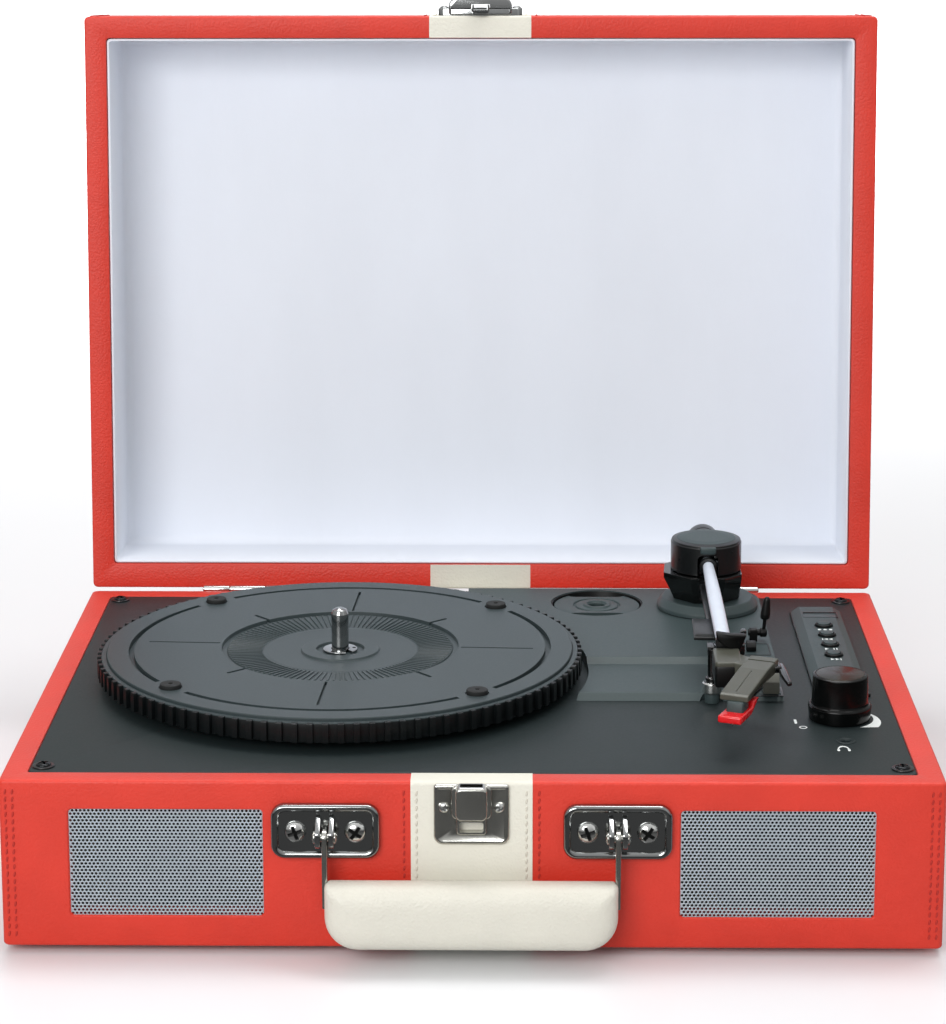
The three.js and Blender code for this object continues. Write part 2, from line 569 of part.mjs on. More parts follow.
// ---------------------------------------------------------------- base fittings
const rivet = { radius: 1.5, hole: 1.8 };

const makeHandlePlate = (x) => {
  const back = FRONT - GAP;
  const front = back - HANDLE_PLATE.thick;
  const plate = deepen(
    roundedRect(HANDLE_PLATE.width, HANDLE_PLATE.height, 5, x, HANDLE_PLATE.z), front, back);
  const lugs = sides.map(([, sx]) => {
    const inner = x + sx * 1.5;
    const outer = x + sx * 3.5;
    return block(Math.min(inner, outer), Math.max(inner, outer), HANDLE.axisY - 3.4, front + 0.5, 40, 51);
  });
  return cut(join(plate, ...lugs), rodX(rivet.hole, x - 5, x + 5, HANDLE.axisY, HANDLE.axisZ));
};

const makeStrap = (x) => {
  const shape = new THREE.Shape();
  const reach = 3.2;
  shape.absarc(HANDLE.axisY, HANDLE.axisZ, reach, 0, Math.PI);
  shape.lineTo(HANDLE.axisY - reach, 19);
  shape.lineTo(HANDLE.axisY + reach, 19);
  const strap = widen(shape, x - 1, x + 1);
  return join(strap, rodX(rivet.radius, x - 4, x + 4, HANDLE.axisY, HANDLE.axisZ));
};

const makeGrip = () => {
  const { halfGrip, gripTop, gripBottom, axisY } = HANDLE;
  const puff = 3;
  const round = 18;
  const x = halfGrip - puff;
  const high = gripTop - puff;
  const low = gripBottom + puff;
  const shape = new THREE.Shape();
  shape.moveTo(-x + round, low);
  shape.lineTo(x - round, low);
  shape.absarc(x - round, low + round, round, -Math.PI / 2, 0);
  shape.lineTo(x, high);
  shape.lineTo(-x, high);
  shape.absarc(-x + round, low + round, round, Math.PI, 1.5 * Math.PI);
  const front = axisY - 12.5;
  const back = FRONT - 1.6;
  const body = new THREE.ExtrudeGeometry(shape, {
    depth: back - front - 2 * puff,
    bevelThickness: puff, bevelSize: puff, bevelSegments: 2, curveSegments: 4,
  }).translate(0, 0, -back + puff).rotateX(Math.PI / 2);
  const slots = sides.map(([, sx]) => {
    const inner = sx * (HANDLE.x - 1 - GAP);
    const outer = sx * (HANDLE.x + 5);
    return block(Math.min(inner, outer), Math.max(inner, outer),
      axisY - 3.6, axisY + 3.6, 18.5, gripTop + 1);
  });
  return cut(body, ...slots);
};

const makeKeeper = () => {
  const back = FRONT - GAP;
  const front = back - 1.4;
  const plate = deepen(roundedRect(28, 24, 3.5, 0, 53), front, back);
  const box = block(-6.25, 6.25, front - 5.5, front + 0.5, 49.5, RIM - 0.2);
  const tab = block(-5.5, 5.5, front - 2.5, front + 0.5, 44, 49.6);
  return cut(join(plate, box, tab), block(-4.8, 4.8, front - 4.2, front - 1.2, 54, RIM + 1));
};

for (const [side, sx] of sides) {
  add(`handle_plate_${side}`, makeHandlePlate(sx * HANDLE.x), 'chrome');
  add(`handle_strap_${side}`, makeStrap(sx * HANDLE.x), 'chrome');
}
add('handle_grip', makeGrip(), 'creamLeather');
add('latch_keeper', makeKeeper(), 'chrome');

const makeRearPlate = () => {
  const near = BACK + GAP;
  const far = near + REAR_PLATE.thick;
  const { x, z, width, height } = REAR_PLATE;
  const plate = deepen(roundedRect(width, height, 3, x, z), near, far);
  const sockets = [-22, -8].map((shift) => turnAlongY([
    [0, near], [4.2, near], [4.2, far + 8], [1.6, far + 8], [1.6, far + 1], [0, far + 1],
  ], x + shift, z, 12));
  const hole = turnAlongY([[0, near - 1], [6.3, near - 1], [6.3, far + 1], [0, far + 1]], x + 20, z, 16);
  return cut(join(plate, ...sockets), hole);
};
const inletBack = BACK - 8;
const inletFace = BACK + GAP + REAR_PLATE.thick + 1;
add('rear_jack_plate', makeRearPlate(), 'glossBlack');
add('dc_inlet', turnAlongY([
  [0, inletBack], [6, inletBack], [6, inletFace], [2.8, inletFace], [2.8, inletBack + 1.5],
  [1, inletBack + 1.5],
  [1, inletFace - 1], [0, inletFace - 1],
], REAR_PLATE.x + 20, REAR_PLATE.z, 16), 'glossBlack');

// ---------------------------------------------------------------- hinges and lid
const lid = new THREE.Group();
lid.position.set(0, HINGE.y, HINGE.z);
lid.rotation.x = -LID_OPEN;
player.add(lid);

// Lid pieces are drawn with the lid shut, then turned open about the hinge.
const addToLid = (name, geometry, finish) =>
  add(name, geometry.translate(0, -HINGE.y, -HINGE.z), finish, lid);

const leafBack = BACK + GAP;
const leafFront = leafBack + 0.9;
const knuckle = HINGE.length / 2 - 12;

const makeBaseLeaf = (x) => {
  const half = HINGE.length / 2;
  const leaf = block(x - half, x + half, leafBack, leafFront, HINGE.z - HINGE.leaf, HINGE.z);
  const notch = block(x - knuckle - GAP, x + knuckle + GAP, BACK, BACK + 10, HINGE.z - 2.4, HINGE.z + 4);
  const barrels = [[x - half, x - knuckle - GAP], [x + knuckle + GAP, x + half]]
    .map(([x0, x1]) => rodX(HINGE.barrel, x0, x1, HINGE.y, HINGE.z));
  return join(cut(leaf, notch), ...barrels, rodX(HINGE.pin, x - half + 1, x + half - 1, HINGE.y, HINGE.z));
};

const makeLidLeaf = (x) => {
  const half = HINGE.length / 2;
  const leaf = block(x - half, x + half, leafBack, leafFront, HINGE.z + 2.4, HINGE.z + HINGE.leaf);
  const neck = block(x - knuckle, x + knuckle, leafBack, leafFront, HINGE.z, HINGE.z + 3);
  return cut(
    join(leaf, neck, rodX(HINGE.barrel, x - knuckle, x + knuckle, HINGE.y, HINGE.z)),
    rodX(HINGE.bore, x - knuckle - 1, x + knuckle + 1, HINGE.y, HINGE.z));
};

for (const [side, sx] of sides) {
  add(`base_hinge_leaf_${side}`, makeBaseLeaf(sx * HINGE.x), 'chrome');
  addToLid(`lid_hinge_leaf_${side}`, makeLidLeaf(sx * HINGE.x), 'chrome');
}

const lidRing = roundedRect(CASE.width, CASE.depth, CASE.corner);
lidRing.holes.push(roundedRect(INNER_W, INNER_D, INNER_CORNER));
addToLid('lid_frame', raise(lidRing, LID_RIM, LID_TOP), 'redLeather');
addToLid('lid_panel', innerPanel(LID_TOP - PANEL, LID_TOP), 'creamLeather');

const liningWall = 1;
const liningTop = LID_TOP - PANEL - GAP;
addToLid('lid_lining', cut(
  innerPanel(LID_RIM + 1, liningTop),
  raise(roundedRect(INNER_W - 2 * GAP - 2 * liningWall, INNER_D - 2 * GAP - 2 * liningWall, 1.2),
    LID_RIM - 1, liningTop - liningWall),
), 'lining');

const latchBack = FRONT - GAP;
const wingFront = latchBack - 1.2;
const boxFront = wingFront - 6.5;
const slideBack = FRONT - 3.5;
const slideFront = slideBack - 1.6;

const makeLatchPlate = () => {
  const wings = deepen(roundedRect(36, 22, 3, 0, LID_RIM + 12.2), wingFront, latchBack);
  const box = block(-13.5, 13.5, boxFront, wingFront + 0.5, LID_RIM + 1.2, LID_RIM + 21.2);
  const channel = block(-4.8, 4.8, slideFront - 1, slideBack + 0.6, LID_RIM, LID_RIM + 22);
  return cut(join(wings, box), channel);
};
addToLid('latch_plate', makeLatchPlate(), 'chrome');
addToLid('latch_tongue', block(-4.2, 4.2, slideFront, slideBack, LID_RIM - 7.8, LID_RIM + 16), 'chrome');

const tabAxis = { y: boxFront - 1.4, z: LID_RIM + 17.5 };
addToLid('latch_tab', widen(polygon([
  [tabAxis.y - 0.75, LID_RIM + 3], [tabAxis.y + 0.75, LID_RIM + 3],
  [tabAxis.y + 0.75, tabAxis.z + 0.8], [tabAxis.y - 0.75, tabAxis.z + 0.8],
]), -6.5, 6.5), 'chrome');

export default player;
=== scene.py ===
# Suitcase record player: the looks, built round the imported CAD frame.
# Shapes are drawn in millimetres in the case's own axes: x to the right, y to the back, z up,
# with zero at the middle of the base frame's underside. piece() turns them into the frame's metres.
import json
from math import atan2, copysign, cos, dist, pi, radians, sin, tan

import bpy
import bmesh
from mathutils import Matrix, Vector, noise


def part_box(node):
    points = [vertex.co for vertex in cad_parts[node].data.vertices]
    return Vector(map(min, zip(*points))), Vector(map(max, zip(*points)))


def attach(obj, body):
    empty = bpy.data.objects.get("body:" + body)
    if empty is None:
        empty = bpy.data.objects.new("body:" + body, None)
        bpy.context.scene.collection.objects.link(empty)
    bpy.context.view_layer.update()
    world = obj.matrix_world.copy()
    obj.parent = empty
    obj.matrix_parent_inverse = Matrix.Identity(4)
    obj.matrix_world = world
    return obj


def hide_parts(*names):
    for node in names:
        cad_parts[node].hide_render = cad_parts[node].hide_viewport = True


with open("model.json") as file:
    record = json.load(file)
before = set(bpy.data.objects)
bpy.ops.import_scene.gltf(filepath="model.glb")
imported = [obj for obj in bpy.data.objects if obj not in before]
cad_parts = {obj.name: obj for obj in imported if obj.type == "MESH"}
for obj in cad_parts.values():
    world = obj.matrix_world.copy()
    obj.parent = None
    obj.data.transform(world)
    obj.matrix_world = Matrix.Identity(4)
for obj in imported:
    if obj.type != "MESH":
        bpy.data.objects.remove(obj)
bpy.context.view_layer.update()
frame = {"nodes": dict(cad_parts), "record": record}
MM = 0.001
BOX_LOW, BOX_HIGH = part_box("base_frame")
ORIGIN = Vector(((BOX_LOW.x + BOX_HIGH.x) / 2, (BOX_LOW.y + BOX_HIGH.y) / 2, BOX_LOW.z))
JOINTS = {j["name"]: j for j in frame["record"]["behaviour"]["joints"]}
HINGE = Vector(JOINTS["lid_hinge"]["pos_m"])
LID_OPEN = radians(JOINTS["lid_hinge"]["range_deg"][1])
# Lid pieces are drawn with the lid shut and turned open about the hinge line.
OPENED = Matrix.Translation(HINGE) @ Matrix.Rotation(-LID_OPEN, 4, "X") @ Matrix.Translation(-HINGE)
UNOPENED = OPENED.inverted()


def span(node, shut=False):
    """A CAD node's box in case millimetres; shut gives a lid node's box with the lid closed."""
    if shut:
        points = [UNOPENED @ v.co for v in frame["nodes"][node].data.vertices]
        low = Vector([min(p[k] for p in points) for k in range(3)])
        high = Vector([max(p[k] for p in points) for k in range(3)])
    else:
        low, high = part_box(node)
    return (low - ORIGIN) / MM, (high - ORIGIN) / MM


def middle(node, shut=False):
    low, high = span(node, shut)
    return (low + high) / 2


# ------------------------------------------------------------------ outlines and profiles
def rrect(w, h, r, x=0.0, y=0.0, n=6):
    """A rectangle with round corners, anticlockwise."""
    corners = (
        (w / 2 - r, h / 2 - r, 0), (r - w / 2, h / 2 - r, 90),
        (r - w / 2, r - h / 2, 180), (w / 2 - r, r - h / 2, 270),
    )
    points = []
    for cx, cy, start in corners:
        for i in range(n + 1):
            a = radians(start + 90 * i / n)
            points.append((x + cx + r * cos(a), y + cy + r * sin(a)))
    return points


def circle(r, x=0.0, y=0.0, n=48):
    return [(x + r * cos(2 * pi * i / n), y + r * sin(2 * pi * i / n)) for i in range(n)]


def arc(r, start, stop, x=0.0, y=0.0, n=24):
    angles = [radians(start + (stop - start) * i / n) for i in range(n + 1)]
    return [(x + r * cos(a), y + r * sin(a)) for a in angles]


def polar(r, degrees):
    return r * cos(radians(degrees)), r * sin(radians(degrees))


def fillet(points, radius=0.5, n=3, closed=False):
    """Rounds a polyline's corners; a third number on a point is its own radius."""
    out, count = [], len(points)
    for i, p in enumerate(points):
        r = p[2] if len(p) > 2 else radius
        here = Vector(p[:2])
        a = Vector(points[i - 1][:2]) - here
        b = Vector(points[(i + 1) % count][:2]) - here
        ends = not closed and i in (0, count - 1)
        if ends or r <= 0 or a.length < 1e-6 or b.length < 1e-6 or a.angle(b) > 3.1:
            out.append(tuple(here))
            continue
        half = a.angle(b) / 2
        reach = min(r / tan(half), a.length * 0.49, b.length * 0.49)
        a.normalize()
        b.normalize()
        centre = here + (a + b).normalized() * (reach / cos(half))
        first, last = here + a * reach - centre, here + b * reach - centre
        turn = atan2(first.x * last.y - first.y * last.x, first.dot(last))
        for k in range(n + 1):
            out.append(tuple(centre + Matrix.Rotation(turn * k / n, 2) @ first))
    return out


def inset(outline, d):
    """An anticlockwise outline moved in by d."""
    out, count = [], len(outline)
    for i in range(count):
        a, p, b = (Vector(outline[k % count]) for k in (i - 1, i, i + 1))
        t1, t2 = (p - a).normalized(), (b - p).normalized()
        n1, n2 = Vector((-t1.y, t1.x)), Vector((-t2.y, t2.x))
        out.append(tuple(p + (n1 + n2) * (d / max(0.3, 1 + n1.dot(n2)))))
    return out


# ------------------------------------------------------------------ solids: (vertices, faces)
def joined(*parts):
    verts, faces = [], []
    for v, f in parts:
        at = len(verts)
        verts += [tuple(p) for p in v]
        faces += [tuple(i + at for i in face) for face in f]
    return verts, faces


def moved(part, matrix):
    return [tuple(matrix @ Vector(p)) for p in part[0]], part[1]


def about_z(degrees):
    return Matrix.Rotation(radians(degrees), 4, "Z")


def shift(part, x=0.0, y=0.0, z=0.0):
    return [(a + x, b + y, c + z) for a, b, c in part[0]], part[1]


def facing_front(part, y, x=0.0, z=0.0):
    """Plan x, y and height become x, z and outward from a front wall at y."""
    return [(a + x, y - c, b + z) for a, b, c in part[0]], part[1]


def facing_back(part, y, x=0.0, z=0.0):
    return [(a + x, y + c, b + z) for a, b, c in part[0]], part[1]


def sideways(part, x=0.0):
    """Plan x, y and height become y, z and x: a side outline swept across."""
    return [(c + x, a, b) for a, b, c in part[0]], part[1]


def loft(loops, caps=True, closed=False):
    verts, faces, n = [], [], len(loops[0])
    for loop in loops:
        verts += [tuple(p) for p in loop]
    count = len(loops)
    for k in range(count if closed else count - 1):
        a, b = k * n, (k + 1) % count * n
        for i in range(n):
            j = (i + 1) % n
            faces.append((a + i, a + j, b + j, b + i))
    if caps and not closed:
        faces.append(tuple(range(n - 1, -1, -1)))
        faces.append(tuple(range((count - 1) * n, count * n)))
    return verts, faces


def slab(outline, z0, z1, top=0.4, bottom=0.0, n=3):
    """An outline raised from z0 to z1 with round edges."""
    loops = []
    for k in range(n + 1 if bottom else 1):
        a = pi / 2 * k / n
        loops.append([(x, y, z0 + bottom * (1 - cos(a)))
                      for x, y in inset(outline, bottom * (1 - sin(a)))])
    for k in range(n + 1 if top else 1):
        a = pi / 2 * k / n
        loops.append([(x, y, z1 - top * (1 - sin(a)))
                      for x, y in inset(outline, top * (1 - cos(a)))])
    return loft(loops)


def brick(x0, x1, y0, y1, z0, z1, edge=0.3):
    """A block with round vertical and top edges."""
    w, d = x1 - x0, y1 - y0
    return slab(rrect(w, d, min(edge * 1.5, w * 0.45, d * 0.45), (x0 + x1) / 2, (y0 + y1) / 2, 3), z0, z1,
                min(edge, (z1 - z0) * 0.4), min(edge, (z1 - z0) * 0.4), 2)


def lathe(profile, x=0.0, y=0.0, n=64, closed=False):
    verts, faces, rings = [], [], []
    for r, h in profile:
        if r < 1e-4:
            rings.append([len(verts)])
            verts.append((x, y, h))
            continue
        rings.append(list(range(len(verts), len(verts) + n)))
        verts += [(px, py, h) for px, py in circle(r, x, y, n)]
    pairs = list(zip(rings, rings[1:])) + ([(rings[-1], rings[0])] if closed else [])
    for a, b in pairs:
        for i in range(n):
            j = (i + 1) % n
            if len(a) > 1 and len(b) > 1:
                faces.append((a[i], a[j], b[j], b[i]))
            elif len(b) > 1:
                faces.append((a[0], b[j], b[i]))
            elif len(a) > 1:
                faces.append((a[i], a[j], b[0]))
    return verts, faces


def along_x(part, y, z, x=0.0):
    """A lathe about z becomes one about a line along x."""
    return [(c + x, a + y, b + z) for a, b, c in part[0]], part[1]


def along_y(part, x, z, y=0.0):
    return [(a + x, c + y, -b + z) for a, b, c in part[0]], part[1]


def tube(path, radius, n=12, squash=1.0):
    """A round bar along a path of points; radius is a number or one for each point."""
    points = [Vector(p) for p in path]
    radii = radius if isinstance(radius, (list, tuple)) else [radius] * len(points)
    loops, side = [], None
    for i, p in enumerate(points):
        ahead = points[min(i + 1, len(points) - 1)] - points[max(i - 1, 0)]
        ahead.normalize()
        if side is None:
            side = ahead.cross(Vector((0, 0, 1)) if abs(ahead.z) < 0.9 else Vector((0, 1, 0)))
        side = (side - ahead * side.dot(ahead)).normalized()
        up = side.cross(ahead)
        loops.append([p + side * radii[i] * cos(a) + up * radii[i] * squash * sin(a)
                      for a in (2 * pi * k / n for k in range(n))])
    return loft(loops)


def strap(path, section):
    """Sweeps a section of (across x, height off the path) along a path in y and z."""
    points = [Vector(p) for p in path]
    loops = []
    for i, p in enumerate(points):
        ahead = (points[min(i + 1, len(points) - 1)] - points[max(i - 1, 0)]).normalized()
        out = Vector((-ahead.y, ahead.x))
        loops.append([(x, p.x + out.x * h, p.y + out.y * h) for x, h in section])
    return loft(loops)


def hull(points):
    """The convex solid round some corners."""
    bm = bmesh.new()
    for p in points:
        bm.verts.new(p)
    bmesh.ops.convex_hull(bm, input=bm.verts)
    bmesh.ops.dissolve_limit(bm, angle_limit=0.01, verts=bm.verts, edges=bm.edges)
    bm.verts.index_update()
    part = [tuple(v.co) for v in bm.verts], [tuple(v.index for v in f.verts) for f in bm.faces]
    bm.free()
    return part


def as_mesh(part):
    mesh = bpy.data.meshes.new("work")
    mesh.from_pydata(part[0], [], part[1])
    bm = bmesh.new()
    bm.from_mesh(mesh)
    bmesh.ops.remove_doubles(bm, verts=bm.verts, dist=1e-4)
    bmesh.ops.recalc_face_normals(bm, faces=bm.faces)
    bm.to_mesh(mesh)
    bm.free()
    return mesh


def boolean(part, tools, operation="DIFFERENCE"):
    target = bpy.data.objects.new("work", as_mesh(part))
    bpy.context.collection.objects.link(target)
    helpers = [target]
    for tool in tools:
        other = bpy.data.objects.new("work", as_mesh(tool))
        bpy.context.collection.objects.link(other)
        helpers.append(other)
        step = target.modifiers.new("cut", "BOOLEAN")
        step.operation, step.solver, step.object = operation, "EXACT", other
    bpy.context.view_layer.update()
    mesh = bpy.data.meshes.new_from_object(target.evaluated_get(bpy.context.evaluated_depsgraph_get()))
    result = [tuple(v.co) for v in mesh.vertices], [tuple(p.vertices) for p in mesh.polygons]
    for o in helpers:
        bpy.data.objects.remove(o)
    return result


def carve(part, *tools):
    return boolean(part, tools)


def piece(name, body, look, part, stands_for=(), shut=False, smooth=32, bevel=0.0, steps=2,
          thick=0.0, weighted=False):
    """One shown piece: a solid in case millimetres, riding on a CAD body."""
    mesh = as_mesh(part)
    mesh.transform(Matrix.Translation(ORIGIN) @ Matrix.Scale(MM, 4))
    if shut:
        mesh.transform(OPENED)
    mesh.name = name
    mesh.materials.append(look)
    mesh.shade_smooth()
    mesh.set_sharp_from_angle(angle=radians(smooth))
    obj = bpy.data.objects.new(name, mesh)
    bpy.context.collection.objects.link(obj)
    if thick:
        step = obj.modifiers.new("thickness", "SOLIDIFY")
        step.thickness, step.offset = thick * MM, -1
    if bevel:
        step = obj.modifiers.new("edges", "BEVEL")
        step.width, step.segments = bevel * MM, steps
        step.limit_method, step.angle_limit = "ANGLE", radians(smooth)
        step.miter_outer = "MITER_ARC"
        mesh.shade_smooth()
    if bevel or weighted:
        obj.modifiers.new("shading", "WEIGHTED_NORMAL").keep_sharp = True
    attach(obj, body)
    if stands_for:
        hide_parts(*([stands_for] if isinstance(stands_for, str) else stands_for))
    return obj


# ------------------------------------------------------------------ materials
def linear(rgb):
    return [((c / 255 + 0.055) / 1.055) ** 2.4 if c > 10 else c / 255 / 12.92 for c in rgb]


def look(name, rgb, rough, metal=0.0, spread=0.05, patch=60, relief=(), rough_spread=0.06, stretch=None,
         **sockets):
    """A procedural finish. relief lists (kind, size in mm, height in mm); patch scales the colour cloud."""
    mat = bpy.data.materials.new(name)
    mat.use_nodes = True
    tree = mat.node_tree
    nodes, links = tree.nodes, tree.links
    shader = nodes["Principled BSDF"]
    place = nodes.new("ShaderNodeTexCoord").outputs["Object"]
    if stretch:
        scale = nodes.new("ShaderNodeMapping")
        scale.inputs["Scale"].default_value = stretch
        links.new(place, scale.inputs["Vector"])
        place = scale.outputs["Vector"]
    cloud = nodes.new("ShaderNodeTexNoise")
    cloud.inputs["Scale"].default_value = patch
    cloud.inputs["Detail"].default_value = 4
    links.new(place, cloud.inputs["Vector"])
    ramp = nodes.new("ShaderNodeValToRGB")
    base = linear(rgb)
    ramp.color_ramp.elements[0].position, ramp.color_ramp.elements[1].position = 0.3, 0.7
    ramp.color_ramp.elements[0].color = [c * (1 - spread) for c in base] + [1]
    ramp.color_ramp.elements[1].color = [min(1, c * (1 + spread)) for c in base] + [1]
    links.new(cloud.outputs["Fac"], ramp.inputs["Fac"])
    links.new(ramp.outputs["Color"], shader.inputs["Base Color"])
    shine = nodes.new("ShaderNodeMapRange")
    shine.inputs["To Min"].default_value = max(0.02, rough - rough_spread)
    shine.inputs["To Max"].default_value = min(1, rough + rough_spread)
    links.new(cloud.outputs["Fac"], shine.inputs["Value"])
    links.new(shine.outputs["Result"], shader.inputs["Roughness"])
    shader.inputs["Metallic"].default_value = metal
    normal = None
    for kind, size, height in relief:
        if kind == "grain":
            warp = nodes.new("ShaderNodeTexNoise")
            warp.inputs["Scale"].default_value = 500 / size
            links.new(place, warp.inputs["Vector"])
            bend = nodes.new("ShaderNodeVectorMath")
            bend.operation = "MULTIPLY_ADD"
            bend.inputs[1].default_value = (size * MM,) * 3
            links.new(warp.outputs["Color"], bend.inputs[0])
            links.new(place, bend.inputs[2])
            texture = nodes.new("ShaderNodeTexVoronoi")
            texture.feature = "SMOOTH_F1"
            texture.inputs["Smoothness"].default_value = 0.4
            links.new(bend.outputs["Vector"], texture.inputs["Vector"])
            source = texture.outputs["Distance"]
        else:
            texture = nodes.new("ShaderNodeTexNoise")
            texture.inputs["Detail"].default_value = 3
            links.new(place, texture.inputs["Vector"])
            source = texture.outputs["Fac"]
        texture.inputs["Scale"].default_value = 1 / (size * MM)
        bump = nodes.new("ShaderNodeBump")
        bump.inputs["Distance"].default_value = height * MM
        bump.inputs["Strength"].default_value = 1.0
        if kind == "grain":
            bump.invert = True
        links.new(source, bump.inputs["Height"])
        if normal:
            links.new(normal, bump.inputs["Normal"])
        normal = bump.outputs["Normal"]
    if normal:
        links.new(normal, shader.inputs["Normal"])
    for socket, value in sockets.items():
        shader.inputs[socket.replace("_", " ")].default_value = value
    return mat


RED = look("red_leatherette", (207, 47, 27), 0.5, spread=0.05, patch=45,
           relief=[("grain", 1.0, 0.11), ("noise", 0.22, 0.015)], Sheen_Weight=0.08)
CREAM = look("cream_leatherette", (219, 216, 203), 0.5, spread=0.025, patch=40,
             relief=[("grain", 1.0, 0.11), ("noise", 0.22, 0.015)], Sheen_Weight=0.05)
GRIP = look("grip_leatherette", (209, 206, 194), 0.5, spread=0.025, patch=40,
            relief=[("grain", 1.0, 0.17), ("noise", 0.22, 0.015)], Sheen_Weight=0.05)
RED_THREAD = look("red_thread", (176, 38, 28), 0.7, relief=[("noise", 0.12, 0.03)])
CREAM_THREAD = look("cream_thread", (205, 200, 186), 0.7, relief=[("noise", 0.12, 0.03)])
WOOD = look("case_board_wood", (150, 120, 84), 0.8, spread=0.15, patch=30, stretch=(1, 8, 1),
            relief=[("noise", 0.8, 0.05)])
DECK = look("deck_plastic", (30, 39, 40), 0.5, spread=0.05, patch=900, relief=[("noise", 0.35, 0.006)],
            Specular_IOR_Level=0.3)
COVER = look("cover_plastic", (54, 66, 67), 0.46, spread=0.05, patch=900, relief=[("noise", 0.3, 0.006)],
             Specular_IOR_Level=0.35)
PLATTER = look("platter_plastic", (50, 60, 62), 0.44, spread=0.08, patch=1100, relief=[("noise", 0.3, 0.012)],
               Specular_IOR_Level=0.4)
JET = look("jet_black", (4, 5, 5), 0.4, spread=0.1, patch=500, relief=[("noise", 0.4, 0.004)],
           Specular_IOR_Level=0.3)
KNOB = look("knob_black", (3, 4, 4), 0.22, spread=0.1, patch=300, rough_spread=0.03,
            relief=[("noise", 2.0, 0.003)], Specular_IOR_Level=0.28)
GLOSS = look("gloss_black", (5, 6, 6), 0.2, spread=0.1, patch=200, rough_spread=0.04,
             relief=[("noise", 3.0, 0.004)], Coat_Weight=0.3, Coat_Roughness=0.08)
SATIN = look("satin_black", (14, 16, 17), 0.3, spread=0.08, patch=700, relief=[("noise", 0.3, 0.004)])
TOOTH = look("platter_tooth", (12, 16, 17), 0.36, spread=0.08, patch=700, relief=[("noise", 0.3, 0.004)],
             Specular_IOR_Level=0.3)
RUBBER = look("rubber", (16, 18, 18), 0.75, spread=0.1, patch=500, relief=[("noise", 0.4, 0.02)])
CHROME = look("chrome", (162, 164, 164), 0.1, 1.0, spread=0.03, patch=90, rough_spread=0.04,
              relief=[("noise", 2.5, 0.004)])
PLATE = look("plate_chrome", (150, 152, 152), 0.12, 1.0, spread=0.03, patch=90, rough_spread=0.04,
             relief=[("noise", 2.5, 0.004)])
LATCH = look("latch_metal", (196, 196, 190), 0.24, 1.0, spread=0.05, patch=120, rough_spread=0.05,
             relief=[("noise", 3.0, 0.008), ("noise", 0.6, 0.002)])
NICKEL = look("nickel_screws", (214, 215, 213), 0.17, 1.0, spread=0.06, patch=300, rough_spread=0.06,
              relief=[("noise", 0.5, 0.006)])
BLACK_SCREW = look("blackened_screws", (34, 36, 38), 0.28, 0.8, spread=0.1, patch=400,
                   relief=[("noise", 0.4, 0.01)])
GRILLE = look("grille_metal", (172, 182, 190), 0.36, 0.25, spread=0.05, patch=400,
              relief=[("noise", 0.3, 0.006)])
PAPER = look("speaker_paper", (24, 25, 26), 0.9, spread=0.15, patch=600, relief=[("noise", 0.5, 0.05)])
LINING = look("lid_lining", (226, 230, 238), 0.85, spread=0.02, patch=25,
              relief=[("noise", 14.0, 0.25), ("noise", 0.4, 0.02)], stretch=(1, 0.35, 0.35))
SILVER = look("arm_silver", (212, 219, 230), 0.3, 0.15, spread=0.03, patch=200,
              relief=[("noise", 0.5, 0.004)])
SHELL = look("headshell_grey", (74, 75, 66), 0.36, 0.0, spread=0.05, patch=500,
             relief=[("noise", 0.3, 0.006)])
SWITCH = look("switch_grey", (98, 98, 90), 0.4, spread=0.05, patch=500, relief=[("noise", 0.3, 0.006)])
STYLUS = look("stylus_red", (206, 18, 24), 0.26, spread=0.06, patch=400, relief=[("noise", 0.6, 0.006)],
              Coat_Weight=0.25)
BOARD = look("circuit_board", (36, 92, 58), 0.5, spread=0.12, patch=200, relief=[("noise", 1.2, 0.03)])
SCREEN = look("display_screen", (54, 64, 66), 0.42, spread=0.06, patch=100, rough_spread=0.03,
              relief=[("noise", 4.0, 0.003)])
SPUN = look("spun_knob_top", (60, 58, 50), 0.24, 0.9, spread=0.06, patch=400, relief=[("noise", 0.5, 0.003)],
            Anisotropic=0.92, Anisotropic_Rotation=0.25)
tangent = SPUN.node_tree.nodes.new("ShaderNodeTangent")
tangent.direction_type, tangent.axis = "RADIAL", "Z"
spun_shader = SPUN.node_tree.nodes["Principled BSDF"]
SPUN.node_tree.links.new(tangent.outputs["Tangent"], spun_shader.inputs["Tangent"])
PRINT = look("white_print", (224, 228, 226), 0.55, spread=0.04, patch=900, relief=[("noise", 0.2, 0.004)])
STEEL = look("motor_steel", (150, 152, 155), 0.32, 0.9, spread=0.05, patch=150, relief=[("noise", 0.6, 0.01)])
SOCKET_RED = look("socket_red", (178, 22, 26), 0.4, relief=[("noise", 0.4, 0.01)])
SOCKET_WHITE = look("socket_white", (226, 226, 222), 0.4, relief=[("noise", 0.4, 0.01)])

# ------------------------------------------------------------------ camera, light and floor
CAMERA_AT = (0.01728, -1.21640, 0.44450)
CAMERA_PITCH, CAMERA_YAW, CAMERA_ROLL = 11.55, 0.886, -0.103
CAMERA_LENS, CAMERA_SENSOR, CAMERA_SHIFT = 106.7, 36, -0.15
camera = bpy.data.objects.new("camera", bpy.data.cameras.new("camera"))
camera.data.lens = CAMERA_LENS
camera.data.sensor_width = CAMERA_SENSOR
camera.data.shift_y = CAMERA_SHIFT
camera.location = CAMERA_AT
camera.rotation_euler = (
    Matrix.Rotation(radians(CAMERA_YAW), 3, "Z")
    @ Matrix.Rotation(radians(90 - CAMERA_PITCH), 3, "X")
    @ Matrix.Rotation(radians(CAMERA_ROLL), 3, "Z")
).to_euler()
bpy.context.collection.objects.link(camera)
bpy.context.scene.camera = camera


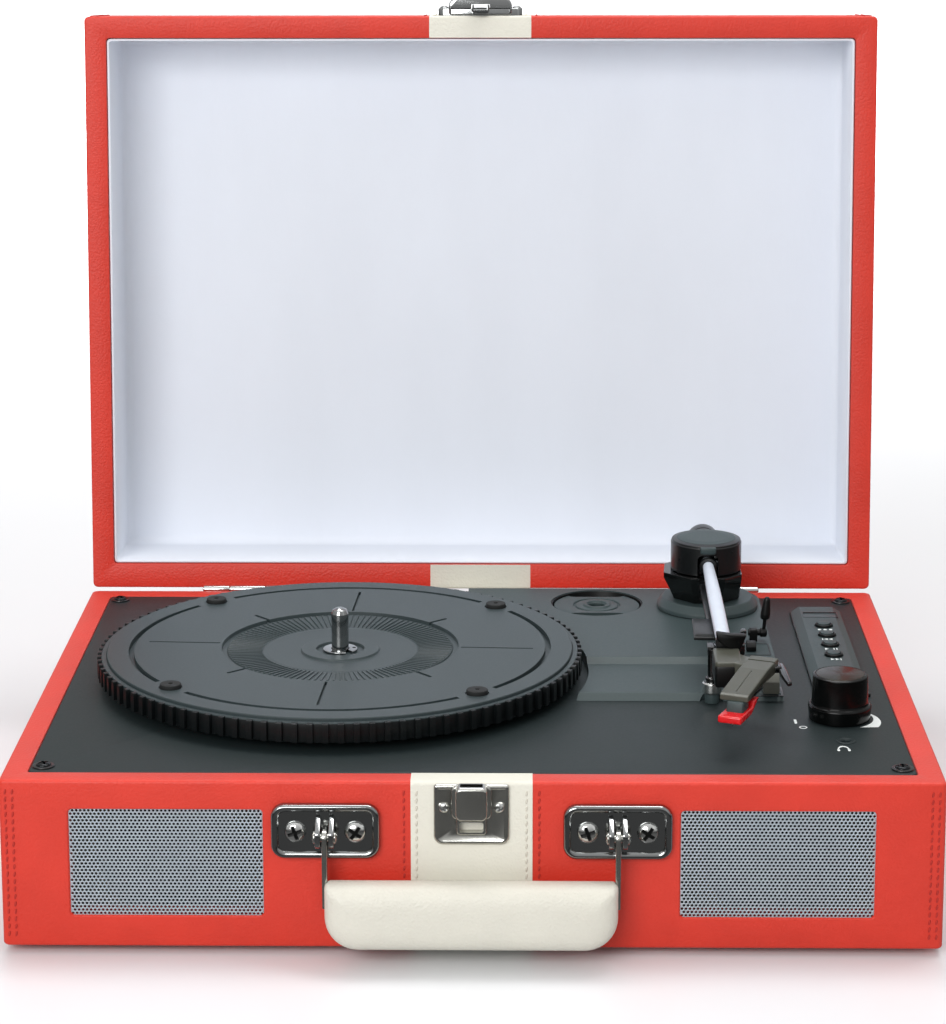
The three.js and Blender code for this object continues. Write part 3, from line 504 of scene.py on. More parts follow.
def softbox(name, at, aim, width, height, watts, spread=180):
    light = bpy.data.lights.new(name, "AREA")
    light.spread = radians(spread)
    light.shape, light.size, light.size_y, light.energy = "RECTANGLE", width, height, watts
    obj = bpy.data.objects.new(name, light)
    obj.location = at
    obj.rotation_euler = (Vector(aim) - Vector(at)).to_track_quat("-Z", "Y").to_euler()
    bpy.context.collection.objects.link(obj)


softbox("key_light", (-0.6, -1.55, 0.85), (0, 0, 0.14), 1.0, 0.7, 18.2)
softbox("top_light", (0.1, 0.22, 1.5), (0, -0.03, 0.08), 1.2, 0.45, 12)
softbox("fill_light", (1.3, -1.0, 0.8), (0, 0, 0.15), 0.6, 0.9, 0.4)
softbox("floor_light", (0, 2.6, 2.4), (0, 2.6, 0), 3.0, 2.0, 110, 70)

world = bpy.data.worlds.new("studio")
world.use_nodes = True
sky, sky_links = world.node_tree.nodes, world.node_tree.links
direction, split = sky.new("ShaderNodeTexCoord"), sky.new("ShaderNodeSeparateXYZ")
heights = sky.new("ShaderNodeMapRange")
heights.inputs["From Min"].default_value = -1
tones = sky.new("ShaderNodeValToRGB")
SKY = ((0.0, 0.2), (0.36, 0.11), (0.44, 0.05), (0.49, 0.04), (0.53, 0.38), (0.72, 0.54), (1.0, 0.85))
tones.color_ramp.elements[0].position, tones.color_ramp.elements[1].position = SKY[0][0], SKY[-1][0]
for at, level in SKY[1:-1]:
    tones.color_ramp.elements.new(at)
for stop, (at, level) in zip(tones.color_ramp.elements, SKY):
    stop.color = (level, level, level, 1)
sky_links.new(direction.outputs["Generated"], split.inputs["Vector"])
sky_links.new(split.outputs["Z"], heights.inputs["Value"])
sky_links.new(heights.outputs["Result"], tones.inputs["Fac"])
sky_links.new(tones.outputs["Color"], sky["Background"].inputs["Color"])
bpy.context.scene.world = world
bpy.context.scene.view_settings.view_transform = "Standard"

FLOOR = look("floor_paint", (228, 229, 231), 0.32, spread=0.01, patch=3, rough_spread=0.02,
             relief=[("noise", 9.0, 0.004)], Specular_IOR_Level=0.25)
FLOOR_HALF = 9
floor_mesh = bpy.data.meshes.new("floor")
floor_mesh.from_pydata([(sx * FLOOR_HALF, sy * FLOOR_HALF, 0)
                        for sx, sy in ((-1, -1), (1, -1), (1, 1), (-1, 1))], [], [(0, 1, 2, 3)])
floor_mesh.materials.append(FLOOR)
floor = bpy.data.objects.new("floor", floor_mesh)
bpy.context.collection.objects.link(floor)
floor.visible_glossy = False

# ------------------------------------------------------------------ the case and its covering
base_low, base_high = span("base_frame")
WIDTH, DEPTH = base_high.x - base_low.x, base_high.y - base_low.y
FRONT, BACK, RIM = base_low.y, base_high.y, base_high.z
deck_low, deck_high = span("deck_plate")
WALL = base_high.x - deck_high.x - 0.3
CORNER, INNER_CORNER = 2.2, 1.6
lid_low, lid_high = span("lid_frame", shut=True)
LID_RIM, LID_TOP = lid_low.z, lid_high.z
BAND, BAND_PROUD = 22.5, 0.28
# Fixtures stand this far off the CAD wall, clear of the band.
SKIN = 0.3
OUTER = rrect(WIDTH, DEPTH, CORNER, n=8)
INNER = rrect(WIDTH - 2 * WALL, DEPTH - 2 * WALL, INNER_CORNER, n=8)


def wall_loop(share, z):
    """The outline part of the way from the outside of the wall to its inside."""
    return [(a[0] + (b[0] - a[0]) * share, a[1] + (b[1] - a[1]) * share, z) for a, b in zip(OUTER, INNER)]


def rounding(share0, z0, share_step, z_step, n=5):
    """Loops round an edge: the share of the wall moves by share_step while the height moves by z_step."""
    loops = []
    for k in range(n + 1):
        a = pi / 2 * k / n
        loops.append(wall_loop(share0 + share_step * (1 - cos(a)), z0 + z_step * sin(a)))
    return loops


def low_rounding(share, z, r, n=5):
    """Loops round a lower outer edge, upwards from the rim at z."""
    angles = [pi / 2 * k / n for k in range(1, n + 1)]
    return [wall_loop(share * (1 - sin(a)), z + r * (1 - cos(a))) for a in angles]


def screw_head(r, height, slot=0.34, n=28):
    """A pan head with a cross recess."""
    dome = [(r * cos(radians(a)), height * sin(radians(a)) ** 0.9) for a in range(5, 91, 10)]
    head = lathe([(0, -0.4), (r, -0.4)] + dome[:-1] + [(0, height)], n=n)
    deep = height * 0.9
    reach = r * 0.68
    cross = [slab(rrect(*size, 0.05, n=1), height - deep, height + 1, 0) for size in
             ((2 * reach, r * slot), (r * slot, 2 * reach))]
    return carve(head, *cross)


def painted_recess_shade(r, height, slot=0.34):
    """Painted shade: a black fill in the bottom of a head's cross recess, standing for the shadow inside it.
    """
    reach, wide = r * 0.68 - 0.04, r * slot - 0.08
    bars = [slab(rrect(*size, 0.05, n=1), height * 0.12, height * 0.5, 0)
            for size in ((2 * reach, wide), (wide, 2 * reach))]
    return boolean(bars[0], bars[1:], "UNION")


PAN = screw_head(4.1, 2.5)
PAN_RECESS_SHADE = painted_recess_shade(4.1, 2.5)
FLAT = screw_head(2.9, 1.2)
SMALL = screw_head(2.0, 1.1)


def scaled(part, s):
    return [(a * s, b * s, c * s) for a, b, c in part[0]], part[1]


def grille_cutter(x, z, w, h, r):
    lip = 0.9
    loops = []
    for k in range(6):
        a = pi / 2 * k / 5
        out = lip * (1 - sin(a))
        loops.append([(px, FRONT + lip * (1 - cos(a)) - (0.5 if k == 0 else 0), pz)
                      for px, pz in rrect(w + 2 * out, h + 2 * out, r + out, x, z)])
    loops.append([(px, FRONT + WALL + 2, pz) for px, pz in rrect(w, h, r, x, z)])
    return loft(loops)


edge_r = 1.3
share = edge_r / WALL
covering = loft(
    [wall_loop(1, 0)] + [wall_loop(share, 0)]
    + low_rounding(share, 0, edge_r)
    + rounding(0, RIM - edge_r, share, edge_r)
    + [wall_loop(1 - 0.6 / WALL, RIM), wall_loop(1 - 0.15 / WALL, RIM - 0.2), wall_loop(1, RIM - 0.7)],
    closed=True)
cutters = []
for side in ("left", "right"):
    low, high = span(f"speaker_grille_{side}")
    cutters.append(grille_cutter((low.x + high.x) / 2, (low.z + high.z) / 2, high.x - low.x + 0.4,
                                 high.z - low.z + 0.4, 1.4))
plate_low, plate_high = span("rear_jack_plate")
cutters.append(facing_back(slab(rrect(plate_high.x - plate_low.x - 8, plate_high.z - plate_low.z - 6, 2), -14,
                                2, 0), BACK, (plate_low.x + plate_high.x) / 2,
                           (plate_low.z + plate_high.z) / 2))
piece("base_covering", "root", RED, carve(covering, *cutters), "base_frame", smooth=40)

# The lid's covering runs over its top panel, so one shell stands for both.
lid_r = 3.0
lid_share = lid_r / WALL
CEILING = span("lid_panel", shut=True)[0].z
LID_EDGE, LID_BACK_PROUD, LID_BACK_DEPTH = 0.8, 1.4, 3.2
lid_edge_share = LID_EDGE / WALL
lid_shell = loft(
    [wall_loop(1, CEILING), wall_loop(1, LID_RIM + 0.7), wall_loop(1 - 0.15 / WALL, LID_RIM + 0.2),
     wall_loop(1 - 0.6 / WALL, LID_RIM), wall_loop(lid_edge_share, LID_RIM)]
    + low_rounding(lid_edge_share, LID_RIM, LID_EDGE)
    + rounding(0, LID_TOP - lid_r, lid_share, lid_r, 7))


def set_back(y):
    """The lid's back wall stands further back than its CAD frame."""
    return y + (LID_BACK_PROUD if y > BACK - LID_BACK_DEPTH else 0)


lid_shell = [(x, set_back(y), z) for x, y, z in lid_shell[0]], lid_shell[1]
piece("lid_covering", "lid", RED, lid_shell, ("lid_frame", "lid_panel"), shut=True, smooth=40)


def corner_path(y, z, r, start, stop, n=6):
    return [(y + r * cos(radians(start + (stop - start) * k / n)),
             z + r * sin(radians(start + (stop - start) * k / n))) for k in range(n + 1)]


band_section = [(-BAND, -0.3), (BAND, -0.3), (BAND, 0.12), (BAND - 0.25, BAND_PROUD),
                (0.25 - BAND, BAND_PROUD), (-BAND, 0.12)]


def band(name, body, path, shut=False):
    piece(name, body, CREAM, strap(path, band_section), shut=shut, smooth=50)


def mirrored_path(path):
    return [(-y, z) for y, z in reversed(path)]


# On the rims the band is let in, so that the closed lid has room.
LET_IN = 0.2
front_path = ([(FRONT + WALL - 0.15, RIM - LET_IN)] + corner_path(FRONT + edge_r, RIM - LET_IN - edge_r,
        edge_r, 90, 180) + [(FRONT, RIM - 12), (FRONT, 30), (FRONT, 12)] + corner_path(FRONT + edge_r, edge_r,
        edge_r, 180, 270) + [(FRONT + 14, 0)])
band("band_front", "root", front_path)
band("band_back", "root", mirrored_path(front_path))
lid_front = ([(FRONT + WALL - 0.15, LID_RIM + LET_IN)]
             + corner_path(FRONT + LID_EDGE, LID_RIM + LET_IN + LID_EDGE, LID_EDGE, 270, 180)
             + [(FRONT, LID_RIM + 14), (FRONT, LID_TOP - 14)]
             + corner_path(FRONT + lid_r, LID_TOP - lid_r, lid_r, 180, 90))
lid_path = lid_front + [(y, LID_TOP) for y in range(-110, 111, 20)]
lid_path += [(set_back(y), z) for y, z in mirrored_path(lid_front)]
band("band_lid", "lid", [(y, z) for y, z in reversed(lid_path)], shut=True)

# ------------------------------------------------------------------ stitching
STITCH = lathe([(0, -1.1), (0.3, -0.85), (0.42, -0.3), (0.42, 0.3), (0.3, 0.85), (0, 1.1)], n=7)


def stitch_row(start, stop, pitch=2.9, normal="Y"):
    """Stitches from start to stop, each turned a little in the plane of the cloth."""
    start, stop = Vector(start), Vector(stop)
    run = stop - start
    turn_to = run.to_track_quat("Z", "Y").to_matrix().to_4x4()
    count = max(1, int(run.length / pitch))
    slant = Matrix.Rotation(radians(11), 4, normal)
    places = [start + run * ((i + 0.5) / count) for i in range(count)]
    return [moved(STITCH, Matrix.Translation(place) @ slant @ turn_to) for place in places]


def both_ways(rows):
    return [row for x0, y, z0, x1, z1 in rows for sx in (-1, 1)
            for row in stitch_row((sx * x0, y, z0), (sx * x1, y, z1))]


RED_LINES, CREAM_LINES = (25.0, WIDTH / 2 - 5.2, WIDTH / 2 - 2.6), (20.3,)
for side, y in (("front", FRONT), ("back", BACK)):
    for cover, lines, thread, at in (("red", RED_LINES, RED_THREAD, 0.02),
                                     ("cream", CREAM_LINES, CREAM_THREAD, BAND_PROUD)):
        out = y - at if side == "front" else y + at
        lid_out = out + (LID_BACK_PROUD if side == "back" else 0)
        piece(f"stitching_{cover}_{side}", "root", thread,
              joined(*both_ways([(x, out, 3.5, x, RIM - 3) for x in lines])), smooth=60)
        piece(f"stitching_{cover}_lid_{side}", "lid", thread,
              joined(*both_ways([(x, lid_out, LID_RIM + 3, x, LID_TOP - 4) for x in lines])),
              shut=True, smooth=60)
lid_seams = []
for sx in (-1, 1):
    for x, z in ((25.0, LID_TOP), (WIDTH / 2 - 6, LID_TOP), (20.3, LID_TOP + BAND_PROUD)):
        lid_seams.append((x == 20.3, stitch_row((sx * x, FRONT + 6, z), (sx * x, BACK - 6, z), normal="Z")))
for sy in (-1, 1):
    for sx in (-1, 1):
        lid_seams.append((False, stitch_row((sx * 27, sy * (DEPTH / 2 - 6), LID_TOP),
                                            (sx * (WIDTH / 2 - 6), sy * (DEPTH / 2 - 6), LID_TOP),
                                            normal="Z")))
for cream in (False, True):
    name, thread = ("cream", CREAM_THREAD) if cream else ("red", RED_THREAD)
    piece(f"stitching_{name}_lid_top", "lid", thread,
          joined(*[row for is_cream, rows in lid_seams if is_cream == cream for row in rows]),
          shut=True, smooth=60)

# ------------------------------------------------------------------ lid lining
line_low, line_high = span("lid_lining", shut=True)
line_w, line_d = line_high.x - line_low.x, line_high.y - line_low.y
in_w, in_d = line_w - 2.0, line_d - 2.0
lining_loops = [[(x, y, line_high.z) for x, y in rrect(line_w, line_d, 1.7, n=8)]]
lining_loops += [[(x, y, line_low.z + 0.3) for x, y in rrect(line_w, line_d, 1.7, n=8)],
                 [(x, y, line_low.z) for x, y in rrect(line_w - 0.6, line_d - 0.6, 1.6, n=8)],
                 [(x, y, line_low.z) for x, y in rrect(in_w + 0.5, in_d + 0.5, 1.5, n=8)],
                 [(x, y, line_low.z + 0.3) for x, y in rrect(in_w, in_d, 1.3, n=8)]]
fold = 4.0
for k in range(7):
    a = pi / 2 * k / 6
    out = fold * (1 - cos(a))
    lining_loops.append([(x, y, line_high.z - 1 - fold + fold * sin(a))
                         for x, y in rrect(in_w - 2 * out, in_d - 2 * out, 1.3 + 0.4 * out, n=8)])
for k in range(1, 15):
    s = 1 - k / 15
    lining_loops.append([(x * s, y * s, line_high.z - 1 + 0.25 * noise.noise((x * s / 38, y * s / 24, 2.0)))
                         for x, y in rrect(in_w - 2 * fold, in_d - 2 * fold, 3.0, n=8)])
piece("lid_lining_tray", "lid", LINING, loft(lining_loops), "lid_lining", shut=True, smooth=50)

# ------------------------------------------------------------------ feet, floor and rear panel
foot_screws = []
for end in ("front", "rear"):
    for side in ("left", "right"):
        name = f"foot_{end}_{side}"
        low, high = span(name)
        at = (low + high) / 2
        r = (high.x - low.x) / 2
        profile = fillet([(0, low.z + 1.6), (3.2, low.z + 1.6), (3.2, low.z), (r - 1.2, low.z),
                          (r, high.z - 0.4), (r, high.z), (0, high.z)], 0.5, 3)
        piece(name + "_rubber", "root", RUBBER, lathe(profile, at.x, at.y, 56), name)
        screw = [(a, -b, -c) for a, b, c in scaled(SMALL, 1.1)[0]], SMALL[1]
        foot_screws.append(shift(screw, at.x, at.y, low.z + 1.6))
piece("foot_screws", "root", NICKEL, joined(*foot_screws))
floor_low, floor_high = span("base_floor")
piece("base_board", "root", WOOD, slab(rrect(floor_high.x - floor_low.x, floor_high.y - floor_low.y, 1.7),
                                       floor_low.z, floor_high.z, 0.3, 0.3), "base_floor")

plate_at = middle("rear_jack_plate")
plate_w, plate_h = plate_high.x - plate_low.x, plate_high.z - plate_low.z
near = BACK + SKIN
panel = slab(rrect(plate_w, plate_h, 3, n=6), 0, 1.2, 0.4)
frame_rib = carve(slab(rrect(plate_w - 4, plate_h - 4, 2, n=6), 1.0, 1.6, 0.2),
                  slab(rrect(plate_w - 6, plate_h - 6, 1.4, n=6), 0, 3, 0))
inlet = middle("dc_inlet")
hole = slab(circle(6.3, inlet.x - plate_at.x, 0, 40), -1, 3, 0)
piece("rear_panel", "root", SATIN,
      facing_back(carve(panel, hole), near, plate_at.x, plate_at.z), "rear_jack_plate")
piece("rear_panel_rib", "root", SATIN, facing_back(frame_rib, near, plate_at.x, plate_at.z))
for name, dx, tone in (("red", -22, SOCKET_RED), ("white", -8, SOCKET_WHITE)):
    ring = lathe(fillet([(2.3, 1.1), (5.0, 1.1), (5.0, 3.0), (4.4, 3.4), (2.3, 3.4)], 0.3, 2, True), n=40,
                 closed=True)
    piece(f"line_socket_{name}", "root", tone, facing_back(shift(ring, dx), near, plate_at.x, plate_at.z))
    shell = lathe(fillet([(1.7, 1.2), (4.1, 1.2), (4.1, 8.6), (3.7, 9.1), (1.9, 9.1), (1.7, 8.8)], 0.2, 2,
                         True), n=40, closed=True)
    piece(f"line_socket_shell_{name}", "root", NICKEL,
          facing_back(shift(shell, dx), near, plate_at.x, plate_at.z))
inlet_low, inlet_high = span("dc_inlet")
body = lathe(fillet([(0, inlet_low.y), (6, inlet_low.y), (6, inlet_high.y - 0.3), (5.7, inlet_high.y),
                     (3.0, inlet_high.y), (2.8, inlet_high.y - 0.3), (2.8, inlet_low.y + 1.5),
                     (0, inlet_low.y + 1.5)], 0.2, 2), n=48)
piece("power_inlet", "root", GLOSS, along_y(body, inlet.x, inlet.z), "dc_inlet")
pin = lathe([(0, inlet_low.y + 1), (1, inlet_low.y + 1), (1, inlet_high.y - 1.5), (0.6, inlet_high.y - 1),
             (0, inlet_high.y - 1)], n=20)
piece("power_inlet_pin", "root", NICKEL, along_y(pin, inlet.x, inlet.z))
panel_screws = [shift(scaled(SMALL, 0.9), sx * (plate_w / 2 - 4.5), sy * (plate_h / 2 - 4.5), 1.2)
                for sx in (-1, 1) for sy in (-1, 1)]
piece("rear_panel_screws", "root", BLACK_SCREW,
      facing_back(joined(*panel_screws), near, plate_at.x, plate_at.z))

# ------------------------------------------------------------------ speaker grilles
HOLE_PITCH, HOLE_ROW, HOLE_R = 1.5, 1.3, 0.55


def perforated(w, h):
    """A sheet with staggered holes. Cells in neighbouring rows share their corner and mid-side points."""
    verts, faces, seen = [], [], {}

    def at(x, y):
        key = (round(x, 3), round(y, 3))
        if key not in seen:
            seen[key] = len(verts)
            verts.append((x, y, 0))
        return seen[key]

    rows, columns = round(h / HOLE_ROW), round(w / HOLE_PITCH)
    dx, dy = w / columns, h / rows
    for j in range(rows):
        y = -h / 2 + (j + 0.5) * dy
        lag = (j % 2) * 0.5
        for i in range(columns - (1 if lag else 0)):
            x = -w / 2 + (i + 0.5 + lag) * dx
            edge = [(dx / 2, 0), (dx / 2, dy / 2), (0, dy / 2), (-dx / 2, dy / 2), (-dx / 2, 0),
                    (-dx / 2, -dy / 2), (0, -dy / 2), (dx / 2, -dy / 2)]
            outer = [at(x + a, y + b) for a, b in edge]
            rim = [at(x + HOLE_R * cos(k * pi / 4), y + HOLE_R * sin(k * pi / 4)) for k in range(8)]
            for k in range(8):
                m = (k + 1) % 8
                faces.append((outer[k], outer[m], rim[m], rim[k]))
        if lag:
            for x0 in (-w / 2, w / 2 - dx / 2):
                faces.append((at(x0, y - dy / 2), at(x0 + dx / 2, y - dy / 2), at(x0 + dx / 2, y),
                              at(x0 + dx / 2, y + dy / 2), at(x0, y + dy / 2), at(x0, y)))
    return verts, faces


for side in ("left", "right"):
    name = f"speaker_grille_{side}"
    low, high = span(name)
    at = (low + high) / 2
    sheet = perforated(high.x - low.x + 0.5, high.z - low.z + 0.5)
    piece(f"grille_sheet_{side}", "root", GRILLE, facing_front(sheet, FRONT + 0.75, at.x, at.z),
          name, thick=0.5)
    low, high = span(f"speaker_{side}")
    mid = (low + high) / 2
    face = low.y
    cone = lathe(fillet([(0, face + 9), (7, face + 7.5), (8, face + 9.6), (20, face + 1.8, 0.6),
                         (21, face + 0.6), (23, face + 0.2), (24.2, face + 1.2), (27, face + 1.2),
                         (27, face + 2.2), (22, face + 3), (16, face + 14), (16, face + 24), (0, face + 24)],
                        0.6, 3), n=64)
    piece(f"speaker_driver_{side}", "root", PAPER, along_y(cone, mid.x, mid.z),
          f"speaker_{side}")

# ------------------------------------------------------------------ deck
DECK_TOP = deck_high.z
disc_low, disc_high = span("platter")
DISC = (disc_low + disc_high) / 2
DISC_R = (disc_high.x - disc_low.x) / 2
PADS_PROUD = 0.9
DISC_TOP = disc_high.z - PADS_PROUD
DISC_LOW = DECK_TOP + 4
knob_at, jack_at = middle("volume_knob"), middle("headphone_jack")
motor_at, adapter_at = middle("drive_motor"), middle("adapter_45")


def well(r, x, y, z0, z1, n=48):
    return slab(circle(r, x, y, n), z0, z1, 0)


deck_w, deck_d = deck_high.x - deck_low.x, deck_high.y - deck_low.y
deck = slab(rrect(deck_w, deck_d, 1.7), deck_low.z, DECK_TOP, 0.6)
holes = [well(r, at.x, at.y, DECK_TOP - 6, DECK_TOP + 2) for r, at in
         ((5, DISC), (9, motor_at), (4, knob_at), (3.7, jack_at))]
piece("deck_top", "root", DECK, carve(deck, *holes), "deck_plate", smooth=30)

DECK_SCREW_X, DECK_SCREW_Y = 160.4, 111.8
screws, washers = [], []
for sx in (-1, 1):
    for sy in (-1, 1):
        x, y = sx * DECK_SCREW_X, sy * DECK_SCREW_Y
        turned = moved(FLAT, about_z(17 + 31 * sx + 50 * sy))
        screws.append(shift(turned, x, y, DECK_TOP + 0.55))
        washers.append(lathe(fillet([(0, DECK_TOP - 0.2), (4.2, DECK_TOP - 0.2), (4.2, DECK_TOP + 0.6),
                                     (0, DECK_TOP + 0.6)], 0.3, 2), x, y, 40))
piece("deck_screws", "root", BLACK_SCREW, joined(*screws))
piece("deck_screw_washers", "root", SATIN, joined(*washers))

# ------------------------------------------------------------------ platter
UNDER = DISC_TOP - 3.6
STEP_R, SHELF, CORE_R = DISC_R - 3.9, DISC_TOP - 1.2, DISC_R - 1.7
SKIRT = CORE_R - 2.6
profile = [(3.9, DISC_LOW - 1, 0.1), (9.8, DISC_LOW - 1, 0.3), (9.8, UNDER, 0.3), (57, UNDER, 0.3),
           (57, DISC_LOW - 1, 0.2), (60, DISC_LOW - 1, 0.2), (60, UNDER, 0.3), (SKIRT, UNDER, 0.3),
           (SKIRT, DISC_LOW, 0.2), (CORE_R, DISC_LOW, 0.2), (CORE_R, SHELF, 0.35), (STEP_R + 0.3, SHELF, 0.1),
           (STEP_R + 0.3, SHELF - 0.45, 0.1), (STEP_R, SHELF - 0.45, 0.1), (STEP_R, DISC_TOP, 0.5),
           (48.4, DISC_TOP, 0.15), (48.2, DISC_TOP - 1.5, 0.1), (46.2, DISC_TOP - 1.5, 0.1),
           (45.9, DISC_TOP - 0.95, 0.1), (44.6, DISC_TOP - 1.05, 0.1), (31, DISC_TOP - 2.0, 0.2),
           (29.8, DISC_TOP - 1.9, 0.2), (16.2, DISC_TOP - 2.1, 0.2), (15.8, DISC_TOP - 1.3, 0.2),
           (9.9, DISC_TOP - 1.3, 0.2), (9.6, DISC_TOP - 2.4, 0.1), (3.9, DISC_TOP - 2.4, 0.1)]
disc = lathe(fillet(profile, 0.2, 3, closed=True), DISC.x, DISC.y, 256, closed=True)
PAD_RING, PAD_R, PATTERN = 85.0, 4.2, -3.0
PAD_TOP = DISC_TOP + 1.6


def groove(r, width, start, stop, depth=2.2):
    """An arc slot in the platter's top, with round ends."""
    outline = arc(r + width / 2, start, stop, DISC.x, DISC.y, 40) + arc(r - width / 2, stop, start, DISC.x,
            DISC.y, 40)
    return slab(outline, DISC_TOP - depth, DISC_TOP + 1, 0)


def spoke(r0, r1, width, angle, depth=1.4):
    bar = slab(rrect(r1 - r0, width, width * 0.45, (r0 + r1) / 2, 0, 4), DISC_TOP - depth, DISC_TOP + 1, 0)
    return shift(moved(bar, about_z(angle)), DISC.x, DISC.y)


marks = [groove(85.0, 2.3, PATTERN + 45 + 90 * i + 6.2, PATTERN + 45 + 90 * (i + 1) - 6.2) for i in range(4)]
marks += [spoke(49.4, 79, 1.1, PATTERN + 90 * i) for i in range(4)]
marks += [spoke(47.6, 57.5, 1.5, PATTERN + 45 + 90 * i) for i in range(4)]
pad_places = [(DISC.x + dx, DISC.y + dy)
              for dx, dy in (polar(PAD_RING, PATTERN + 45 + 90 * i) for i in range(4))]
marks += [well(PAD_R + 0.45, *place, DISC_TOP - 0.6, DISC_TOP + 2) for place in pad_places]
piece("platter_disc", "platter", PLATTER, carve(disc, *marks), "platter", smooth=28,
      weighted=True)

# Teeth round the rim, each a small block on the core.
tooth = slab([(-1.2, CORE_R - 0.4), (1.2, CORE_R - 0.4), (1.15, DISC_R), (-1.15, DISC_R)], DISC_LOW + 0.2,
             SHELF + 0.02, 0.3, 0.2, 2)
TEETH = 104
teeth = [moved(tooth, Matrix.Rotation(2 * pi * i / TEETH, 4, "Z")) for i in range(TEETH)]
rim_skin = lathe(fillet([(CORE_R - 0.5, DISC_LOW + 0.1), (CORE_R + 0.05, DISC_LOW + 0.1),
                         (CORE_R + 0.05, SHELF - 0.5), (CORE_R - 0.5, SHELF - 0.5)], 0.1, 2, closed=True),
                 n=256, closed=True)
piece("platter_rim", "platter", TOOTH, shift(rim_skin, DISC.x, DISC.y), smooth=30)
piece("platter_teeth", "platter", TOOTH, shift(joined(*teeth), DISC.x, DISC.y), smooth=30)

# The strobe ring: radial ridges standing on a surface which slopes to the middle.
RIDGES = 112
ridge_loops = [(-0.4, 0), (-0.28, 0.6), (0.28, 0.6), (0.4, 0)]
ridges = []
for i in range(RIDGES):
    turn_by = Matrix.Rotation(2 * pi * i / RIDGES, 4, "Z")
    loops = []
    for r, z in ((31.2, DISC_TOP - 2.05), (32.4, DISC_TOP - 1.95), (45.4, DISC_TOP - 1.05),
                 (45.9, DISC_TOP - 1.0)):
        end = r in (31.2, 45.9)
        wide = 0.75 + 0.55 * (r - 31) / 14
        loops.append([tuple(turn_by @ Vector((r, a * wide, z + (b if not end else b * 0.2) - 0.1)))
                      for a, b in ridge_loops])
    ridges.append(loft(loops))
piece("platter_strobe_ridges", "platter", PLATTER, shift(joined(*ridges), DISC.x, DISC.y),
      smooth=30)

pad = lathe(fillet([(0, DISC_TOP - 0.5), (PAD_R, DISC_TOP - 0.5), (PAD_R, PAD_TOP, 0.4), (1.0, PAD_TOP, 0.2),
                    (0.8, DISC_TOP + 0.5, 0.2), (0, DISC_TOP + 0.4)], 0.3, 3), n=48)
piece("platter_pads", "platter", RUBBER, joined(*[shift(pad, *place) for place in pad_places]))

pin_low, pin_high = span("spindle")
pin_r = 3.5
top = pin_high.z
pin = lathe(fillet([(0, pin_low.z), (8, pin_low.z), (8, pin_low.z + 3), (pin_r, pin_low.z + 3),
                    (pin_r, top - 2.6, 0.8), (2.9, top - 0.9, 0.9), (1.4, top - 0.15, 0.6), (0, top)], 0.4,
                   4), DISC.x, DISC.y, 64)
piece("spindle_pin", "root", CHROME, pin, "spindle", smooth=40)
clip_low, clip_high = span("spindle_clip")
clip = slab(circle(7, n=72), clip_low.z, clip_high.z, 0.2, 0.15)
clip = carve(clip, well(pin_r + 0.3, 0, 0, clip_low.z - 1, clip_high.z + 1),
             slab(rrect(3.2, 8, 0.6, 0, -6.4), clip_low.z - 1, clip_high.z + 1, 0),
             *[well(0.8, 5.2 * sx, -2.4, clip_low.z - 1, clip_high.z + 1, 20) for sx in (-1, 1)])
piece("spindle_circlip", "root", CHROME, shift(moved(clip, about_z(35)), DISC.x, DISC.y),
      "spindle_clip")

# ------------------------------------------------------------------ mechanism cover
cover_low, cover_high = span("mechanism_cover")
C_LEFT, C_RIGHT, C_FRONT, C_BACK = cover_low.x, cover_high.x, cover_low.y + 7.5, cover_high.y
C_CORNER, C_STEP = 17.0, 11.0
LOW_TOP, HIGH_TOP = DECK_TOP + 2.7, DECK_TOP + 5
side = fillet([(C_FRONT - 3, DECK_TOP + 0.1, 0), (C_BACK, DECK_TOP + 0.1, 0), (C_BACK, HIGH_TOP, 0.9),
               (C_STEP + 1.6, HIGH_TOP, 0.5), (C_STEP - 1.6, LOW_TOP, 0.35), (C_FRONT, LOW_TOP, 0.5)], 0.5, 4,
              closed=True)
bar = sideways(loft([[(y, z, x) for y, z in side] for x in (C_LEFT - 1, C_RIGHT + 1)]))
plan = ([(C_LEFT, C_FRONT - 4), (C_RIGHT, C_FRONT - 4)]
        + arc(C_CORNER, 0, 90, C_RIGHT - C_CORNER, C_BACK - C_CORNER, 16) + [(C_LEFT, C_BACK)])
rest_at = (94.3, -32.5)
cue_at = Vector((120, 36, DECK_TOP + 8.5))
slot_stop = middle("autostop_switch")
plate = boolean(bar, [slab(plan, DECK_TOP - 1, DECK_TOP + 12, 0)], "INTERSECT")
plate = carve(
    plate,
    slab(circle(DISC_R + 2.8, DISC.x, DISC.y, 200), DECK_TOP - 1, DECK_TOP + 20, 0),
    well(20, adapter_at.x, adapter_at.y, DECK_TOP + 1.4, DECK_TOP + 20, 72),
    well(4.8, *rest_at, DECK_TOP - 1, DECK_TOP + 20),
)
piece("cover_plate", "root", COVER, plate, "mechanism_cover", smooth=25, bevel=0.22)
bracket = sideways(slab(fillet([(cue_at.y - 1.8, HIGH_TOP - 0.3), (cue_at.y + 1.8, HIGH_TOP - 0.3),
                                (cue_at.y + 1.8, cue_at.z + 1.8), (cue_at.y - 1.8, cue_at.z + 1.8)], 0.9, 4,
                               closed=True), 114.2, 117.4, 0.3, 0.3))
piece("cue_bracket", "root", JET, carve(bracket,
                                        along_x(lathe([(0, -5), (1.2, -5), (1.2, 8), (0, 8)], n=24), cue_at.y,
                                                cue_at.z, 112)), smooth=40)
SLOT_W, SLOT_D = 13.0, 17.0
